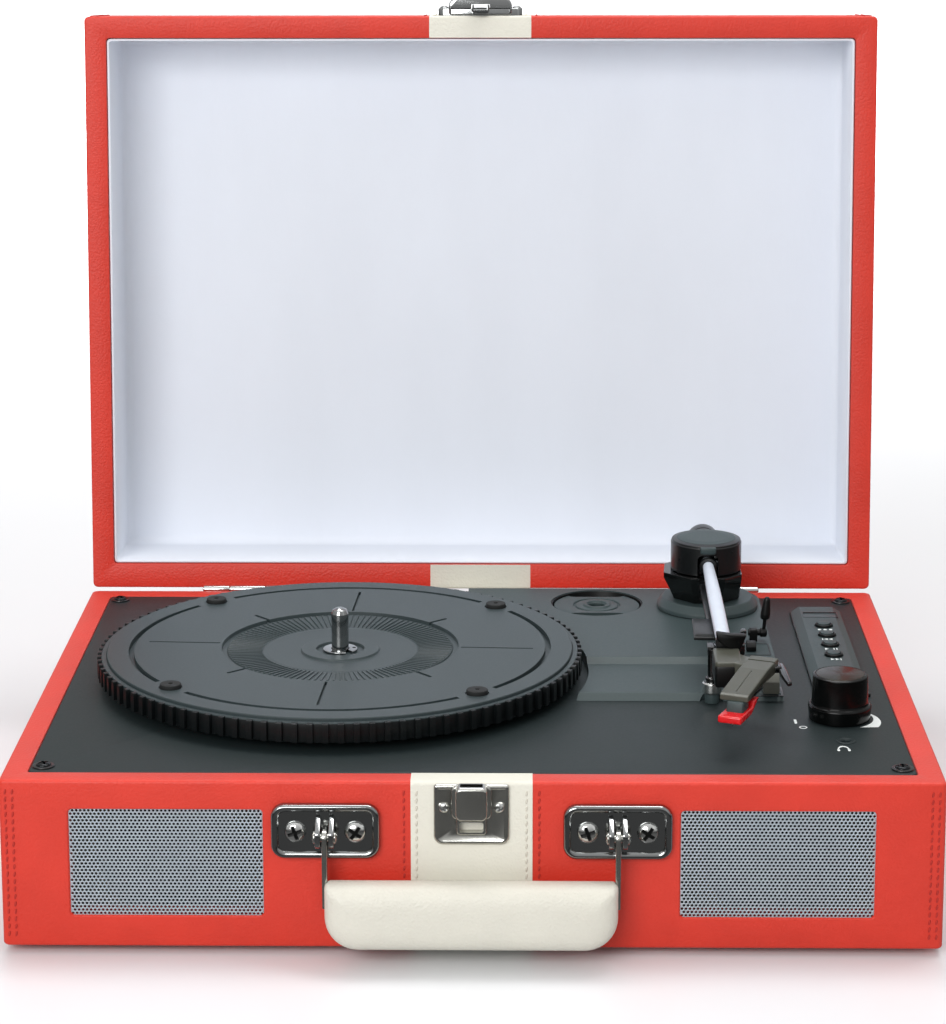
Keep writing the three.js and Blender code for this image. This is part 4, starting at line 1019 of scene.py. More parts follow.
frame_ring = carve(slab(rrect(SLOT_W, SLOT_D, 0.6, slot_stop.x + 1.4, slot_stop.y + 1), HIGH_TOP - 0.35,
                        HIGH_TOP + 0.12, 0.1), slab(rrect(SLOT_W - 1.1, SLOT_D - 1.6, 0.4, slot_stop.x + 1.4,
                                                          slot_stop.y + 1), HIGH_TOP - 1, HIGH_TOP + 1, 0))
piece("stop_slot_rim", "root", JET, frame_ring)

ring_low, ring_high = span("adapter_45")
r_out, z0 = (ring_high.x - ring_low.x) / 2, ring_low.z
ADAPTER_TOP = HIGH_TOP - 0.9
ring = lathe(fillet([(3.8, z0), (r_out - 0.2, z0), (r_out - 0.2, ADAPTER_TOP, 0.4), (10.4, ADAPTER_TOP, 0.2),
                     (10.1, ADAPTER_TOP - 0.7, 0.1), (9.3, ADAPTER_TOP - 0.7, 0.1), (9.0, ADAPTER_TOP, 0.2),
                     (6.2, ADAPTER_TOP - 0.1, 0.3), (5.6, ADAPTER_TOP + 0.6, 0.3),
                     (4.6, ADAPTER_TOP + 0.6, 0.3), (4.2, ADAPTER_TOP, 0.2), (3.8, ADAPTER_TOP - 0.4, 0.2)],
                    0.3, 3, closed=True), adapter_at.x, adapter_at.y, 96, closed=True)
# A black lining over the recess's wall and floor: painted shade standing for the shadow inside the adapter's
# recess.
painted_shade_well = lathe(fillet([(0, z0 - 0.28), (19.95, z0 - 0.28), (19.95, HIGH_TOP - 0.35),
                          (19.4, HIGH_TOP - 0.35), (19.4, z0 - 0.1), (0, z0 - 0.1)], 0.2, 2), adapter_at.x,
                  adapter_at.y, 96)
piece("adapter_well_painted_shade", "root", JET, painted_shade_well, smooth=35)
# Finger room is cut away at the front and the back.
scoops = [slab(rrect(26, 12, 4, adapter_at.x, adapter_at.y + sy * (12.4 + 6)), z0 - 1, z0 + 8, 0)
          for sy in (-1, 1)]
piece("adapter_ring", "adapter", COVER, carve(ring, *scoops), "adapter_45", smooth=35)

# Speed and auto-stop switches.
low, high = span("speed_switch")
cap = sideways(slab(fillet([(low.y, low.z), (high.y, low.z), (high.y, high.z - 2), (high.y - 2.3, high.z),
                            (low.y + 2.3, high.z), (low.y, high.z - 3)], 0.5, 3, closed=True), low.x, high.x,
                    0.4, 0.4))
ridges = [brick(low.x - 1, high.x + 1, y - 0.25, y + 0.25, high.z - 0.35, high.z + 1, 0.05) for y in
          (low.y + 3.4, low.y + 4.5, low.y + 5.6)]
piece("speed_switch_cap", "speed_switch", SWITCH, carve(cap, *ridges), "speed_switch",
      smooth=35)
surround = carve(brick(low.x - 9.2, high.x + 1.6, low.y - 1.4, high.y + 1.4, LOW_TOP - 0.1, LOW_TOP + 0.24,
                       0.12), brick(low.x - 8.2, high.x + 0.7, low.y - 0.5, high.y + 0.5, LOW_TOP - 1,
                                    LOW_TOP + 2, 0.1))
piece("speed_switch_surround", "root", SATIN, surround)
low, high = span("autostop_switch")
cap = sideways(slab(fillet([(low.y, low.z), (high.y, low.z), (high.y, high.z - 1.4), (high.y - 1.5, high.z),
                            (low.y + 1.5, high.z), (low.y, high.z - 1.6)], 0.4, 3, closed=True), low.x,
                    high.x, 0.3, 0.3))
piece("stop_switch_cap", "autostop_switch", JET, cap, "autostop_switch", smooth=35)

# ------------------------------------------------------------------ control strip
strip_low, strip_high = span("control_panel")
sx0, sx1, sy0, sy1 = strip_low.x, strip_high.x, strip_low.y, strip_high.y
STRIP_TOP = strip_high.z
mid_x, mid_y = (sx0 + sx1) / 2, (sy0 + sy1) / 2
strip_w, strip_d = sx1 - sx0, sy1 - sy0
loops = []
for drop, in_x, in_y in ((3.5, 0, 0), (2.4, 0.05, 0), (2.2, 0.2, 0.02), (0.35, 3.1, 0.2), (0.1, 3.4, 0.4),
                         (0, 3.8, 0.7)):
    loops.append([(x, y, STRIP_TOP - drop) for x, y in
                  rrect(strip_w - 2 * in_x, strip_d - 2 * in_y, 0.5, mid_x, mid_y, 5)])
window = middle("display_window")
win_low, win_high = span("display_window")
win_w, win_d = win_high.x - win_low.x, win_high.y - win_low.y
button_names = ("button_mode", "button_previous", "button_play", "button_next")


def strip_holes(window_depth):
    """Cutters for the four buttons and the display window."""
    holes = [well(4.0, middle(n).x, middle(n).y, DECK_TOP - 2, DECK_TOP + 10, 40) for n in button_names]
    opening = rrect(win_w + 0.6, win_d + 0.6, 0.6, window.x, window.y)
    return holes + [slab(opening, STRIP_TOP - window_depth, STRIP_TOP + 3, 0)]


piece("control_strip", "root", COVER, carve(loft(loops), *strip_holes(1.3)), "control_panel",
      smooth=22, bevel=0.12)
# A black plate a little larger than the strip, showing as thin dark lines along its sides: painted shade for
# the shadowed gap under the strip.
gap_shade_plate = slab(rrect(strip_w + 0.6, strip_d + 0.4, 0.7, mid_x, mid_y), DECK_TOP - 0.1, STRIP_TOP - 2.3, 0.15)
piece("control_strip_gap_shade", "root", JET, carve(gap_shade_plate, *strip_holes(3.4)))
glass = slab(rrect(win_w, win_d, 0.5, window.x, window.y), win_low.z, STRIP_TOP - 0.25, 0.15)
piece("display_glass", "root", SCREEN, glass, "display_window")
bezel = carve(slab(rrect(win_w + 1.3, win_d + 1.8, 0.6, window.x, window.y), STRIP_TOP - 0.1,
                   STRIP_TOP + 0.12, 0.08), slab(rrect(win_w + 0.4, win_d + 0.4, 0.6, window.x, window.y),
                                                 STRIP_TOP - 1, STRIP_TOP + 1, 0))
piece("display_bezel", "root", SATIN, bezel)
for name in button_names:
    low, high = span(name)
    at = middle(name)
    r = (high.x - low.x) / 2
    cap = lathe(fillet([(0, low.z), (r, low.z), (r, high.z - 0.3, 0.3), (r - 0.35, high.z, 0.2),
                        (r - 0.7, high.z - 0.15, 0.3), (2.0, high.z - 1.2, 0.8), (1.0, high.z - 1.45, 0.8),
                        (0, high.z - 1.5)], 0.2, 4), at.x, at.y, 56)
    piece(f"{name}_cap", name, JET, cap, name, smooth=40)
    # The finger dish is set towards the back, which leaves a dark crescent at the front: the cap's own black
    # side, with painted shade for the shadow under its raised front.
    dish = slab(circle(r - 1.0, at.x, at.y + 0.85, 40), high.z - 0.5, high.z + 0.04, 0.06)
    piece(f"{name}_face", name, COVER, dish, smooth=40)


def flat_icon(outline, x, y, z, s=1.5):
    return shift(slab([(a * s, b * s * 1.3) for a, b in outline], 0, 0.05, 0), x, y, z)


ARROW = [(-0.5, -0.6), (0.55, 0), (-0.5, 0.6)]
BAR = [(-0.13, -0.6), (0.13, -0.6), (0.13, 0.6), (-0.13, 0.6)]


def icon_row(kind, x, y, z):
    back = [(-a, b) for a, b in reversed(ARROW)]
    rows = {"mode": [flat_icon(circle(0.5, n=20), x + dx, y, z) for dx in (-2.4, 0, 2.4)],
            "previous": [flat_icon(BAR, x - 2.4, y, z), flat_icon(back, x - 1.0, y, z),
                         flat_icon(back, x + 1.0, y, z)], "play": [flat_icon(ARROW, x - 2.0, y, z),
            flat_icon(BAR, x + 1.0, y, z), flat_icon(BAR, x + 2.2, y, z)],
            "next": [flat_icon(ARROW, x - 1.0, y, z), flat_icon(ARROW, x + 1.0, y, z),
                     flat_icon(BAR, x + 2.4, y, z)],}
    return rows[kind]


icons = []
for name in button_names:
    at = middle(name)
    icons += icon_row(name.split("_")[1], at.x, at.y - 5.9, STRIP_TOP - 0.01)
piece("button_icons", "root", PRINT, joined(*icons))

# Volume knob, its marks and the headphone socket.
low, high = span("volume_knob")
knob_r, flange_r, foot, top = 10.75, 12.4, DECK_TOP + 0.4, high.z
profile = fillet([(0, low.z), (3, low.z), (3, foot), (flange_r - 0.4, foot, 0.2), (flange_r, foot + 5.2, 0.6),
                  (flange_r - 0.5, foot + 6.1, 0.4), (knob_r + 0.5, foot + 5.9, 0.2),
                  (knob_r + 0.3, foot + 7, 0.5), (knob_r, top - 0.5, 0.5), (knob_r - 1.0, top, 0.3),
                  (knob_r - 1.2, top - 0.3, 0.1), (0, top - 0.35)], 0.3, 4)
knob = lathe(profile, knob_at.x, knob_at.y, 128)
piece("knob_body", "knob", KNOB, knob, "volume_knob", smooth=35)
spun = lathe(fillet([(0, top - 0.6), (knob_r - 1.25, top - 0.6), (knob_r - 1.3, top - 0.05, 0.2),
                     (0, top - 0.1)], 0.2, 3), knob_at.x, knob_at.y, 128)
piece("knob_spun_top", "knob", SPUN, spun, smooth=35)


def on_deck(outline, x, y):
    return shift(slab(outline, 0, 0.06, 0), x, y, DECK_TOP + 0.01)


swell = [polar(13.2, a) for a in range(-58, 29, 3)]
grow = [polar(13.4 + 4.4 * k / 22, 28 - 3 * k) for k in range(23)]
marks = [carve(on_deck(swell + grow, knob_at.x, knob_at.y),
               brick(knob_at.x, knob_at.x + 30, knob_at.y - 30, knob_at.y - 11.2, 60, 70))]
off_ring = carve(slab(circle(1.6, n=28), 0, 0.06, 0), slab(circle(1.1, n=28), -1, 1, 0))
marks.append(shift(off_ring, knob_at.x - 15.2, knob_at.y - 11.5, DECK_TOP + 0.01))
marks.append(on_deck(rrect(1.0, 5.0, 0.4, 0, 0, 3), knob_at.x - 17.6, knob_at.y - 4.5))
ears_x, ears_y = jack_at.x - 1.7, jack_at.y - 10.0
hoop = [(a, b * 1.9) for a, b in arc(2.3, 5, 175, 0, 0, 20) + arc(1.75, 175, 5, 0, 0, 20)]
marks.append(on_deck(hoop, ears_x, ears_y))
for sx in (-1, 1):
    marks.append(on_deck(rrect(1.0, 2.2, 0.4, 0, 0, 3), ears_x + sx * 2.0, ears_y - 0.4))
piece("deck_marks", "root", PRINT, joined(*marks))
low, high = span("headphone_jack")
barrel = lathe(fillet([(0, low.z), (3.3, low.z), (3.3, DECK_TOP - 0.1), (4.0, DECK_TOP + 0.05),
                       (3.4, DECK_TOP + 0.5, 0.3), (2.5, DECK_TOP + 0.5, 0.2), (2.1, DECK_TOP + 0.1, 0.1),
                       (1.8, DECK_TOP - 0.3), (1.8, low.z + 2), (0, low.z + 2)], 0.15, 3), jack_at.x,
               jack_at.y, 56)
piece("headphone_socket", "root", DECK, barrel, "headphone_jack", smooth=40)

# ------------------------------------------------------------------ arm
ARM_AT = Vector((98.7, 87, DECK_TOP + 28))
base_low, base_high = span("arm_base")
z0 = base_low.z
ball = lathe(fillet([(0, z0), (22, z0, 0.2), (21.8, z0 + 1.6, 1.0), (19.4, base_high.z, 1.2),
                     (0, base_high.z)], 0.3, 6), ARM_AT.x + 0.8, ARM_AT.y, 128)
piece("arm_base_disc", "root", COVER, ball, "arm_base", smooth=35)

turret_low = span("arm_turret")[0]
CROWN = DECK_TOP + 22.3


def ring_at(points, z):
    return [(ARM_AT.x + x, ARM_AT.y + y, z) for x, y in points]


foot_plan = [(14, -5.8), (15, 0), (14, 5.8), (5.8, 14), (-5.8, 14), (-14, 5.8), (-14, -5.8), (-5.8, -14),
             (5.8, -14)]
crown_plan = [(15, -10), (15, 0), (15, 10), (7.3, 17.6), (-7.3, 17.6), (-17.6, 7.3), (-18.6, -7.3),
              (-7.3, -17.6), (7.3, -17.6)]
waist = [tuple((Vector(a) * 0.6 + Vector(b) * 0.4)) for a, b in zip(foot_plan, crown_plan)]
turret = loft([ring_at(foot_plan, turret_low.z), ring_at(waist, turret_low.z + 4.2),
               ring_at(crown_plan, CROWN - 2.2), ring_at(crown_plan, CROWN)])
weight_gap = brick(ARM_AT.x - 8.2, ARM_AT.x + 8.2, ARM_AT.y + 13, ARM_AT.y + 30, DECK_TOP + 16.5,
                   DECK_TOP + 40, 0.3)
front_notch = brick(ARM_AT.x - 3.6, ARM_AT.x + 3.6, ARM_AT.y - 30, ARM_AT.y - 13.4, DECK_TOP + 12,
                    DECK_TOP + 40, 0.3)
piece("turret_body", "turret", GLOSS, carve(turret, weight_gap, front_notch), "arm_turret",
      smooth=25, bevel=0.5, steps=3)
ears = []
for sx in (-1, 1):
    x0, x1 = sorted((ARM_AT.x + sx * 9.6, ARM_AT.x + sx * 12))
    ear = sideways(slab(fillet([(ARM_AT.y - 3, CROWN - 2), (ARM_AT.y + 3, CROWN - 2),
                                (ARM_AT.y + 3, ARM_AT.z + 3), (ARM_AT.y - 3, ARM_AT.z + 3)], 2.2, 5,
                               closed=True), x0, x1, 0.3, 0.3))
    ears.append(ear)
piece("turret_ears", "turret", SATIN, joined(*ears), smooth=40)

cap_low, cap_high = span("arm_cap")
CAP_R, top = 15.3, cap_high.z
cap = lathe(fillet([(13.3, cap_low.z, 0.1), (CAP_R, cap_low.z, 0.3), (CAP_R, top - 1.6, 0.3),
                    (CAP_R - 0.35, top - 1.2, 0.1), (CAP_R - 0.35, top - 0.5, 0.5), (CAP_R - 2.6, top, 0.5),
                    (0, top + 0.15)], 0.3, 4) + fillet([(0, top - 2.2), (13.3, top - 2.2, 0.6),
                                                        (13.3, cap_low.z)], 0.3, 3)[:-1], ARM_AT.x, ARM_AT.y,
            96, closed=True)


def arch(half, y0, y1, z1):
    """A slot with a rounded top, cut through the cap's side."""
    side = [(ARM_AT.x - half, cap_low.z - 2), (ARM_AT.x + half, cap_low.z - 2),
            (ARM_AT.x + half, z1, half * 0.5), (ARM_AT.x - half, z1, half * 0.5)]
    part = slab(fillet(side, 0, 5, closed=True), 0, y1 - y0, 0)
    return [(a, y0 + c, b) for a, b, c in part[0]], part[1]


cap = carve(cap, arch(4.5, ARM_AT.y - 20, ARM_AT.y, ARM_AT.z + 3.8),
            arch(6, ARM_AT.y, ARM_AT.y + 20, ARM_AT.z + 6))
piece("turret_cap", "turret", SATIN, cap, "arm_cap", smooth=30, bevel=0.25)
crown_disc = lathe(fillet([(0, top - 0.6), (CAP_R - 2.3, top - 0.6), (CAP_R - 2.6, top + 0.1, 0.3),
                           (9, top + 0.35, 1.0), (0, top + 0.4)], 0.3, 4), ARM_AT.x, ARM_AT.y, 80)
piece("turret_cap_top", "turret", COVER, crown_disc, smooth=40)
boss = brick(ARM_AT.x - 3.4, ARM_AT.x + 3.4, ARM_AT.y - 16.9, ARM_AT.y - 12, ARM_AT.z + 4.7, ARM_AT.z + 7.6,
             0.6)
piece("turret_cap_boss", "turret", COVER, boss, smooth=35)

# The tube's line runs from the pivot to the head shell, with a small drop and shift.
TUBE_FRONT = Vector((ARM_AT.x - 0.4, span("arm_tube")[0].y, ARM_AT.z - 1.2))
ALONG = (TUBE_FRONT - ARM_AT).normalized()


def on_tube(d):
    return ARM_AT + ALONG * d


reach = (TUBE_FRONT - ARM_AT).length
stations = [(-15.6, 2.3), (14, 2.3), (24, 2.42), (36, 2.62), (48, 2.8), (60, 2.92), (72, 3.0),
            (reach - 1.4, 3.0), (reach - 0.2, 2.9), (reach, 2.6)]
piece("arm_pipe", "arm", SILVER, tube([on_tube(d) for d, _ in stations], [r for _, r in stations], 32),
      "arm_tube", smooth=40)
pins = [along_x(lathe(fillet([(0, -1), (2.4, -1), (2.4, 5.4), (1.2, 6.6), (0, 6.8)], 0.3, 3), n=32), ARM_AT.y,
                ARM_AT.z, ARM_AT.x + 2.2)]
pins.append(([(2 * ARM_AT.x - a, b, c) for a, b, c in pins[0][0]], pins[0][1]))
piece("arm_gimbal_pins", "arm", NICKEL, joined(*pins))
collar = joined(tube([on_tube(d) for d in (-6, -5.6, 5.6, 9.5, 10.2)], [3.0, 3.4, 3.4, 3.0, 2.6], 32),
                tube([on_tube(d) for d in (15.9, 16.1, 18.2, 18.8)], [3.2, 3.6, 3.5, 2.9], 32),
                tube([on_tube(d) for d in (reach - 2.4, reach - 2.1, reach + 0.6, reach + 0.9)],
                     [3.1, 3.4, 3.4, 3.0], 32))
piece("arm_collar", "arm", SATIN, collar, smooth=40)
weight_low, weight_high = span("counterweight")
w_r = (weight_high.x - weight_low.x) / 2
weight = lathe(fillet([(0, weight_low.y), (w_r, weight_low.y, 0.5), (w_r, weight_low.y + 2.6, 0.1),
                       (w_r - 0.5, weight_low.y + 2.9, 0.1), (w_r - 0.5, weight_low.y + 3.7, 0.1),
                       (w_r, weight_low.y + 4.0, 0.1), (w_r, weight_high.y, 1.2), (2, weight_high.y, 0.2),
                       (1.6, weight_high.y - 0.8, 0.2), (0, weight_high.y - 0.8)], 0.4, 4), n=64)
piece("arm_weight", "arm", SATIN, along_y(weight, ARM_AT.x, ARM_AT.z), "counterweight",
      smooth=40)

# ------------------------------------------------------------------ head shell, cartridge and stylus
SHELL_TURN = radians(22)
SHELL_REAR = Vector((114, -58))
SHELL_LENGTH, SHELL_HALF = 39.0, 5.0
SHELL_TOP, SHELL_LOW_END = DECK_TOP + 27, DECK_TOP + 23
forward = Vector((-sin(SHELL_TURN), -cos(SHELL_TURN), 0))
across = Vector((cos(SHELL_TURN), -sin(SHELL_TURN), 0))


def on_shell(part):
    """Plan (along, across) and height in the shell's own frame become case points."""
    return [tuple(Vector((SHELL_REAR.x, SHELL_REAR.y, 0)) + forward * a + across * b + Vector((0, 0, c)))
            for a, b, c in part[0]], part[1]


def shell_side(points, half, edge, left=None):
    """A side outline (along, height) swept across the shell."""
    part = slab(points, -(left or half), half, edge, edge)
    return on_shell(([(a, c, b) for a, b, c in part[0]], part[1]))


fold = 15
crown = fillet([(0, SHELL_TOP - 5.5, 0.5), (2.6, SHELL_TOP - 5.5, 0.5), (3.4, SHELL_TOP - 2.8, 0.6),
                (fold, SHELL_TOP - 3.2, 2), (SHELL_LENGTH - 2, SHELL_LOW_END - 2.6, 0.5),
                (SHELL_LENGTH, SHELL_LOW_END - 2.6, 0.3), (SHELL_LENGTH, SHELL_LOW_END - 0.6, 0.4),
                (SHELL_LENGTH - 1, SHELL_LOW_END, 0.8), (fold, SHELL_TOP - 0.8, 3), (0.4, SHELL_TOP, 0.8)],
               0.15, 4, closed=True)
head = shell_side(crown, SHELL_HALF - 0.4, 0.5, SHELL_HALF + 1.6)


def skin_line(s0, s1, t0, t1):
    """A shallow trough on the sloping top."""
    def z(s):
        fall = SHELL_LOW_END - SHELL_TOP + 0.8
        return SHELL_TOP - 0.8 + fall * max(0, s - fold) / (SHELL_LENGTH - 1 - fold)
    corners = [(s, t, z(s) + dz) for s in (s0, s1) for t in (t0, t1) for dz in (-0.22, 1.4)]
    return on_shell(hull(corners))


lines = [skin_line(17, 36, -1.3, -0.85), skin_line(5, 6, -SHELL_HALF - 3, SHELL_HALF + 1)]
piece("headshell_plate", "arm", SHELL, carve(head, *lines), "headshell", smooth=30,
      bevel=0.12)
rear = brick(93.6, 104.4, -60, TUBE_FRONT.y - 0.3, DECK_TOP + 14.6, DECK_TOP + 23.4, 0.9)
flare = fillet([(95.4, 93.2, 0.6), (98.6, 90.6, 1.5), (102, 88.9, 1.0), (104.6, 88.9, 0.8),
                (107.2, 95.0, 0.5), (101, 95.7, 5), (95.0, 96.3, 0.5)], 0.4, 6, closed=True)
fan = slab(flare, 0, 3.4, 0.6, 0.5)
fan = [(a, TUBE_FRONT.y + 1.0 - c + 0.03 * (a - 100) ** 2, b) for a, b, c in fan[0]], fan[1]
piece("headshell_block", "arm", JET, joined(rear, fan), smooth=35)
cover = slab(fillet([(93.8, -59.6), (104.2, -59.6), (104.2, -40), (93.8, -40)], 1.4, 4, closed=True),
             DECK_TOP + 23.2, DECK_TOP + 25, 0.7)
bridge = slab(fillet([(101, -45), (101, -60), (110, -66), (109, -53)], 1.0, 3, closed=True), DECK_TOP + 19,
              DECK_TOP + 24.9, 0.6, 0.4)
piece("headshell_bridge", "arm", SHELL, joined(cover, bridge), smooth=35)
lift = slab(fillet([(117.4, -57), (117.9, -70), (119.8, -82), (121.6, -80.6), (121.2, -68), (120.2, -56)],
                   0.9, 4, closed=True), DECK_TOP + 22.2, DECK_TOP + 24, 0.7, 0.5)
arm_of_lift = slab(fillet([(109.5, -60), (112.5, -65.5), (119.2, -63.5), (118.6, -57)], 0.8, 3, closed=True),
                   DECK_TOP + 22, DECK_TOP + 24.6, 0.6, 0.4)
piece("finger_lift", "arm", GLOSS, joined(lift, arm_of_lift), smooth=35)
cart_low, cart_high = span("cartridge")
cart = shell_side(fillet([(16, cart_low.z), (36.5, cart_low.z), (36.5, cart_high.z), (16, cart_high.z)], 0.4,
                         3, closed=True), 3.4, 0.3)
piece("cartridge_body", "arm", GLOSS, cart, "cartridge", smooth=35)
connector = shell_side(fillet([(33.6, cart_low.z - 3.4), (41.6, cart_low.z - 3.4),
                               (40.6, SHELL_LOW_END - 2.5), (33.6, SHELL_LOW_END - 2.5)], 0.5, 3,
                              closed=True), 3.3, 0.7)
piece("cartridge_connector", "arm", COVER, connector, smooth=35)
tip_low = span("stylus")[0]
base = tip_low.z + 1
STYLUS_DROP, NEEDLE_DROP = 1.4, 1.25
wedge = shell_side(fillet([(24, cart_low.z - 0.3), (34, base - STYLUS_DROP), (47.4, base - STYLUS_DROP, 0.8),
                           (47.4, base + 1.5, 0.8), (42.0, cart_low.z - 2.2, 1.0),
                           (32, cart_low.z - 2.2, 0.3), (31, cart_low.z - 0.3, 0.3)], 0.3, 4, closed=True),
                   4.6, 0.6)
piece("stylus_body", "arm", STYLUS, wedge, "stylus", smooth=35)
tip = Vector((97.6, -102, tip_low.z - NEEDLE_DROP))
needle = lathe([(0, tip.z), (0.35, tip.z + 0.5), (0.4, base - STYLUS_DROP + 0.6),
                (0, base - STYLUS_DROP + 0.6)], tip.x, tip.y, 16)
lever_bar = tube([tuple(tip + Vector((0, 0, 1.5))), tuple(tip + Vector((3.5, 8.7, 2.2)))], 0.42, 10)
piece("stylus_needle", "arm", NICKEL, joined(needle, lever_bar))

# ------------------------------------------------------------------ rest, clip and cueing
REST_TOP = DECK_TOP + 23.2
rx, ry = rest_at
foot = lathe(fillet([(0, DECK_TOP + 0.1), (2.9, DECK_TOP + 0.1), (2.9, DECK_TOP + 4.4), (0, DECK_TOP + 4.4)],
                    0.2, 3), rx, ry, 48)
collar = lathe(fillet([(0, DECK_TOP + 8.4), (2.7, DECK_TOP + 8.4), (2.7, DECK_TOP + 10.4, 0.4),
                       (1.9, DECK_TOP + 10.8, 0.3), (1.9, REST_TOP - 1), (0, REST_TOP - 1)], 0.2, 4), rx, ry,
               48)
cradle = [(rx - 2, REST_TOP - 3.4), (107, REST_TOP - 3.4, 0.6), (107, REST_TOP + 1, 0.4),
          (104.5, REST_TOP + 1, 0.5), (102.4, REST_TOP - 1, 1.2), (96.6, REST_TOP - 1, 1.2),
          (95, REST_TOP, 0.5), (rx - 2, REST_TOP, 0.3)]
hook = slab(fillet(cradle, 0.3, 4, closed=True), 0, 7, 0.4, 0.4)
hook = [(a, ry - 1 + c, b) for a, b, c in hook[0]], hook[1]
piece("rest_foot", "root", COVER, foot, smooth=35)
piece("rest_post", "root", GLOSS, joined(collar, hook), "arm_rest", smooth=35)
band_ring = lathe(fillet([(0, DECK_TOP + 4.2), (3.6, DECK_TOP + 4.2), (3.95, DECK_TOP + 4.8, 0.3),
                          (3.95, DECK_TOP + 8.2, 0.3), (3.5, DECK_TOP + 8.7, 0.2), (0, DECK_TOP + 8.7)], 0.2,
                         3), rx, ry, 64)
piece("rest_band", "root", NICKEL, band_ring, smooth=35)
clip_low, clip_high = span("rest_clip")
blade = slab(fillet([(103.8, clip_low.z - 2), (106.4, clip_low.z - 2), (107.8, clip_high.z - 0.6),
                     (105.4, clip_high.z - 0.6)], 0.8, 4, closed=True), 0, 3.4, 0.5, 0.4)
piece("rest_spring_clip", "root", GLOSS, ([(a, ry + 3.8 - c, b) for a, b, c in blade[0]], blade[1]),
      "rest_clip", smooth=35)

under = ARM_AT.z - 5.4
plan = arc(104, -96, -88.3, ARM_AT.x, ARM_AT.y, 16) + arc(78, -88.3, -97.5, ARM_AT.x, ARM_AT.y, 16)
pad_plate = slab(fillet(plan, 0.0, 1, closed=True), under - 1.8, under - 0.3, 0.4, 0.3)
stalk = slab(fillet([(ARM_AT.x - 4, ARM_AT.y - 80), (ARM_AT.x, ARM_AT.y - 80), (ARM_AT.x, ARM_AT.y - 20),
                     (ARM_AT.x - 4, ARM_AT.y - 20)], 1, 3, closed=True), under - 3.6, under - 1.6, 0.5, 0.4)
piece("cue_arch", "cue_platform", SATIN, joined(pad_plate, stalk), "cue_platform", smooth=35)
strip_plan = arc(103.2, -95.8, -88.6, ARM_AT.x, ARM_AT.y, 16) + arc(100.4, -88.6, -95.8, ARM_AT.x, ARM_AT.y,
        16)
piece("cue_arch_rubber", "cue_platform", RUBBER, slab(strip_plan, under - 0.5, under, 0.15))

axle = along_x(lathe(fillet([(0, 113.6), (1.4, 113.6), (1.4, 121.5), (0, 121.5)], 0.3, 3), n=32), cue_at.y,
               cue_at.z)
tip_z = DECK_TOP + 24
hub = along_x(lathe(fillet([(0, 118.6), (1.9, 118.6, 0.4), (1.9, 121.3, 0.5), (0, 121.3)], 0.3, 3), n=40),
              cue_at.y, cue_at.z)
stem = lathe(fillet([(0, cue_at.z - 1), (0.75, cue_at.z - 1), (0.75, cue_at.z + 5.4),
                     (1.9, cue_at.z + 6.2, 0.5), (2.1, cue_at.z + 8, 1), (1.35, tip_z - 1.4, 1.2),
                     (0.9, tip_z - 0.2, 0.5), (0, tip_z)], 0.4, 5), 0, 0, 32)
stem = [(cue_at.x + a + 0.09 * max(0, c - cue_at.z), cue_at.y + b, c) for a, b, c in stem[0]], stem[1]
piece("cue_handle", "cue_lever", JET, joined(axle, hub, stem), "cue_lever", smooth=40)

# ------------------------------------------------------------------ handle
AXIS_Y, AXIS_Z, STRAP_R = FRONT - 6.5, 45.5, 3.1
PLATE_W, PLATE_H, PLATE_Z, PLATE_PROUD = 40.3, 21.0, 46.2, 2.6
BEZEL, PLATE_DISH = 2.6, 1.1
HANDLE_X, HANDLE_SCREW_X = 54, 11.1


def dished_plate(w, h, r, thick, floor_at, rim):
    """A plate with a raised round rim; outlines are (x, up) and height is outwards."""
    loops = []
    for inset_by, z in ((0, 0), (0, thick * 0.45), (0.25, thick * 0.78), (0.8, thick * 0.97),
                        (rim * 0.5, thick), (rim * 0.8, thick * 0.9), (rim, thick * 0.72),
                        (rim + 0.25, floor_at)):
        loops.append([(x, y, z) for x, y in rrect(w - 2 * inset_by, h - 2 * inset_by,
                                                  max(0.6, r - inset_by * 0.8), n=8)])
    return loft(loops)


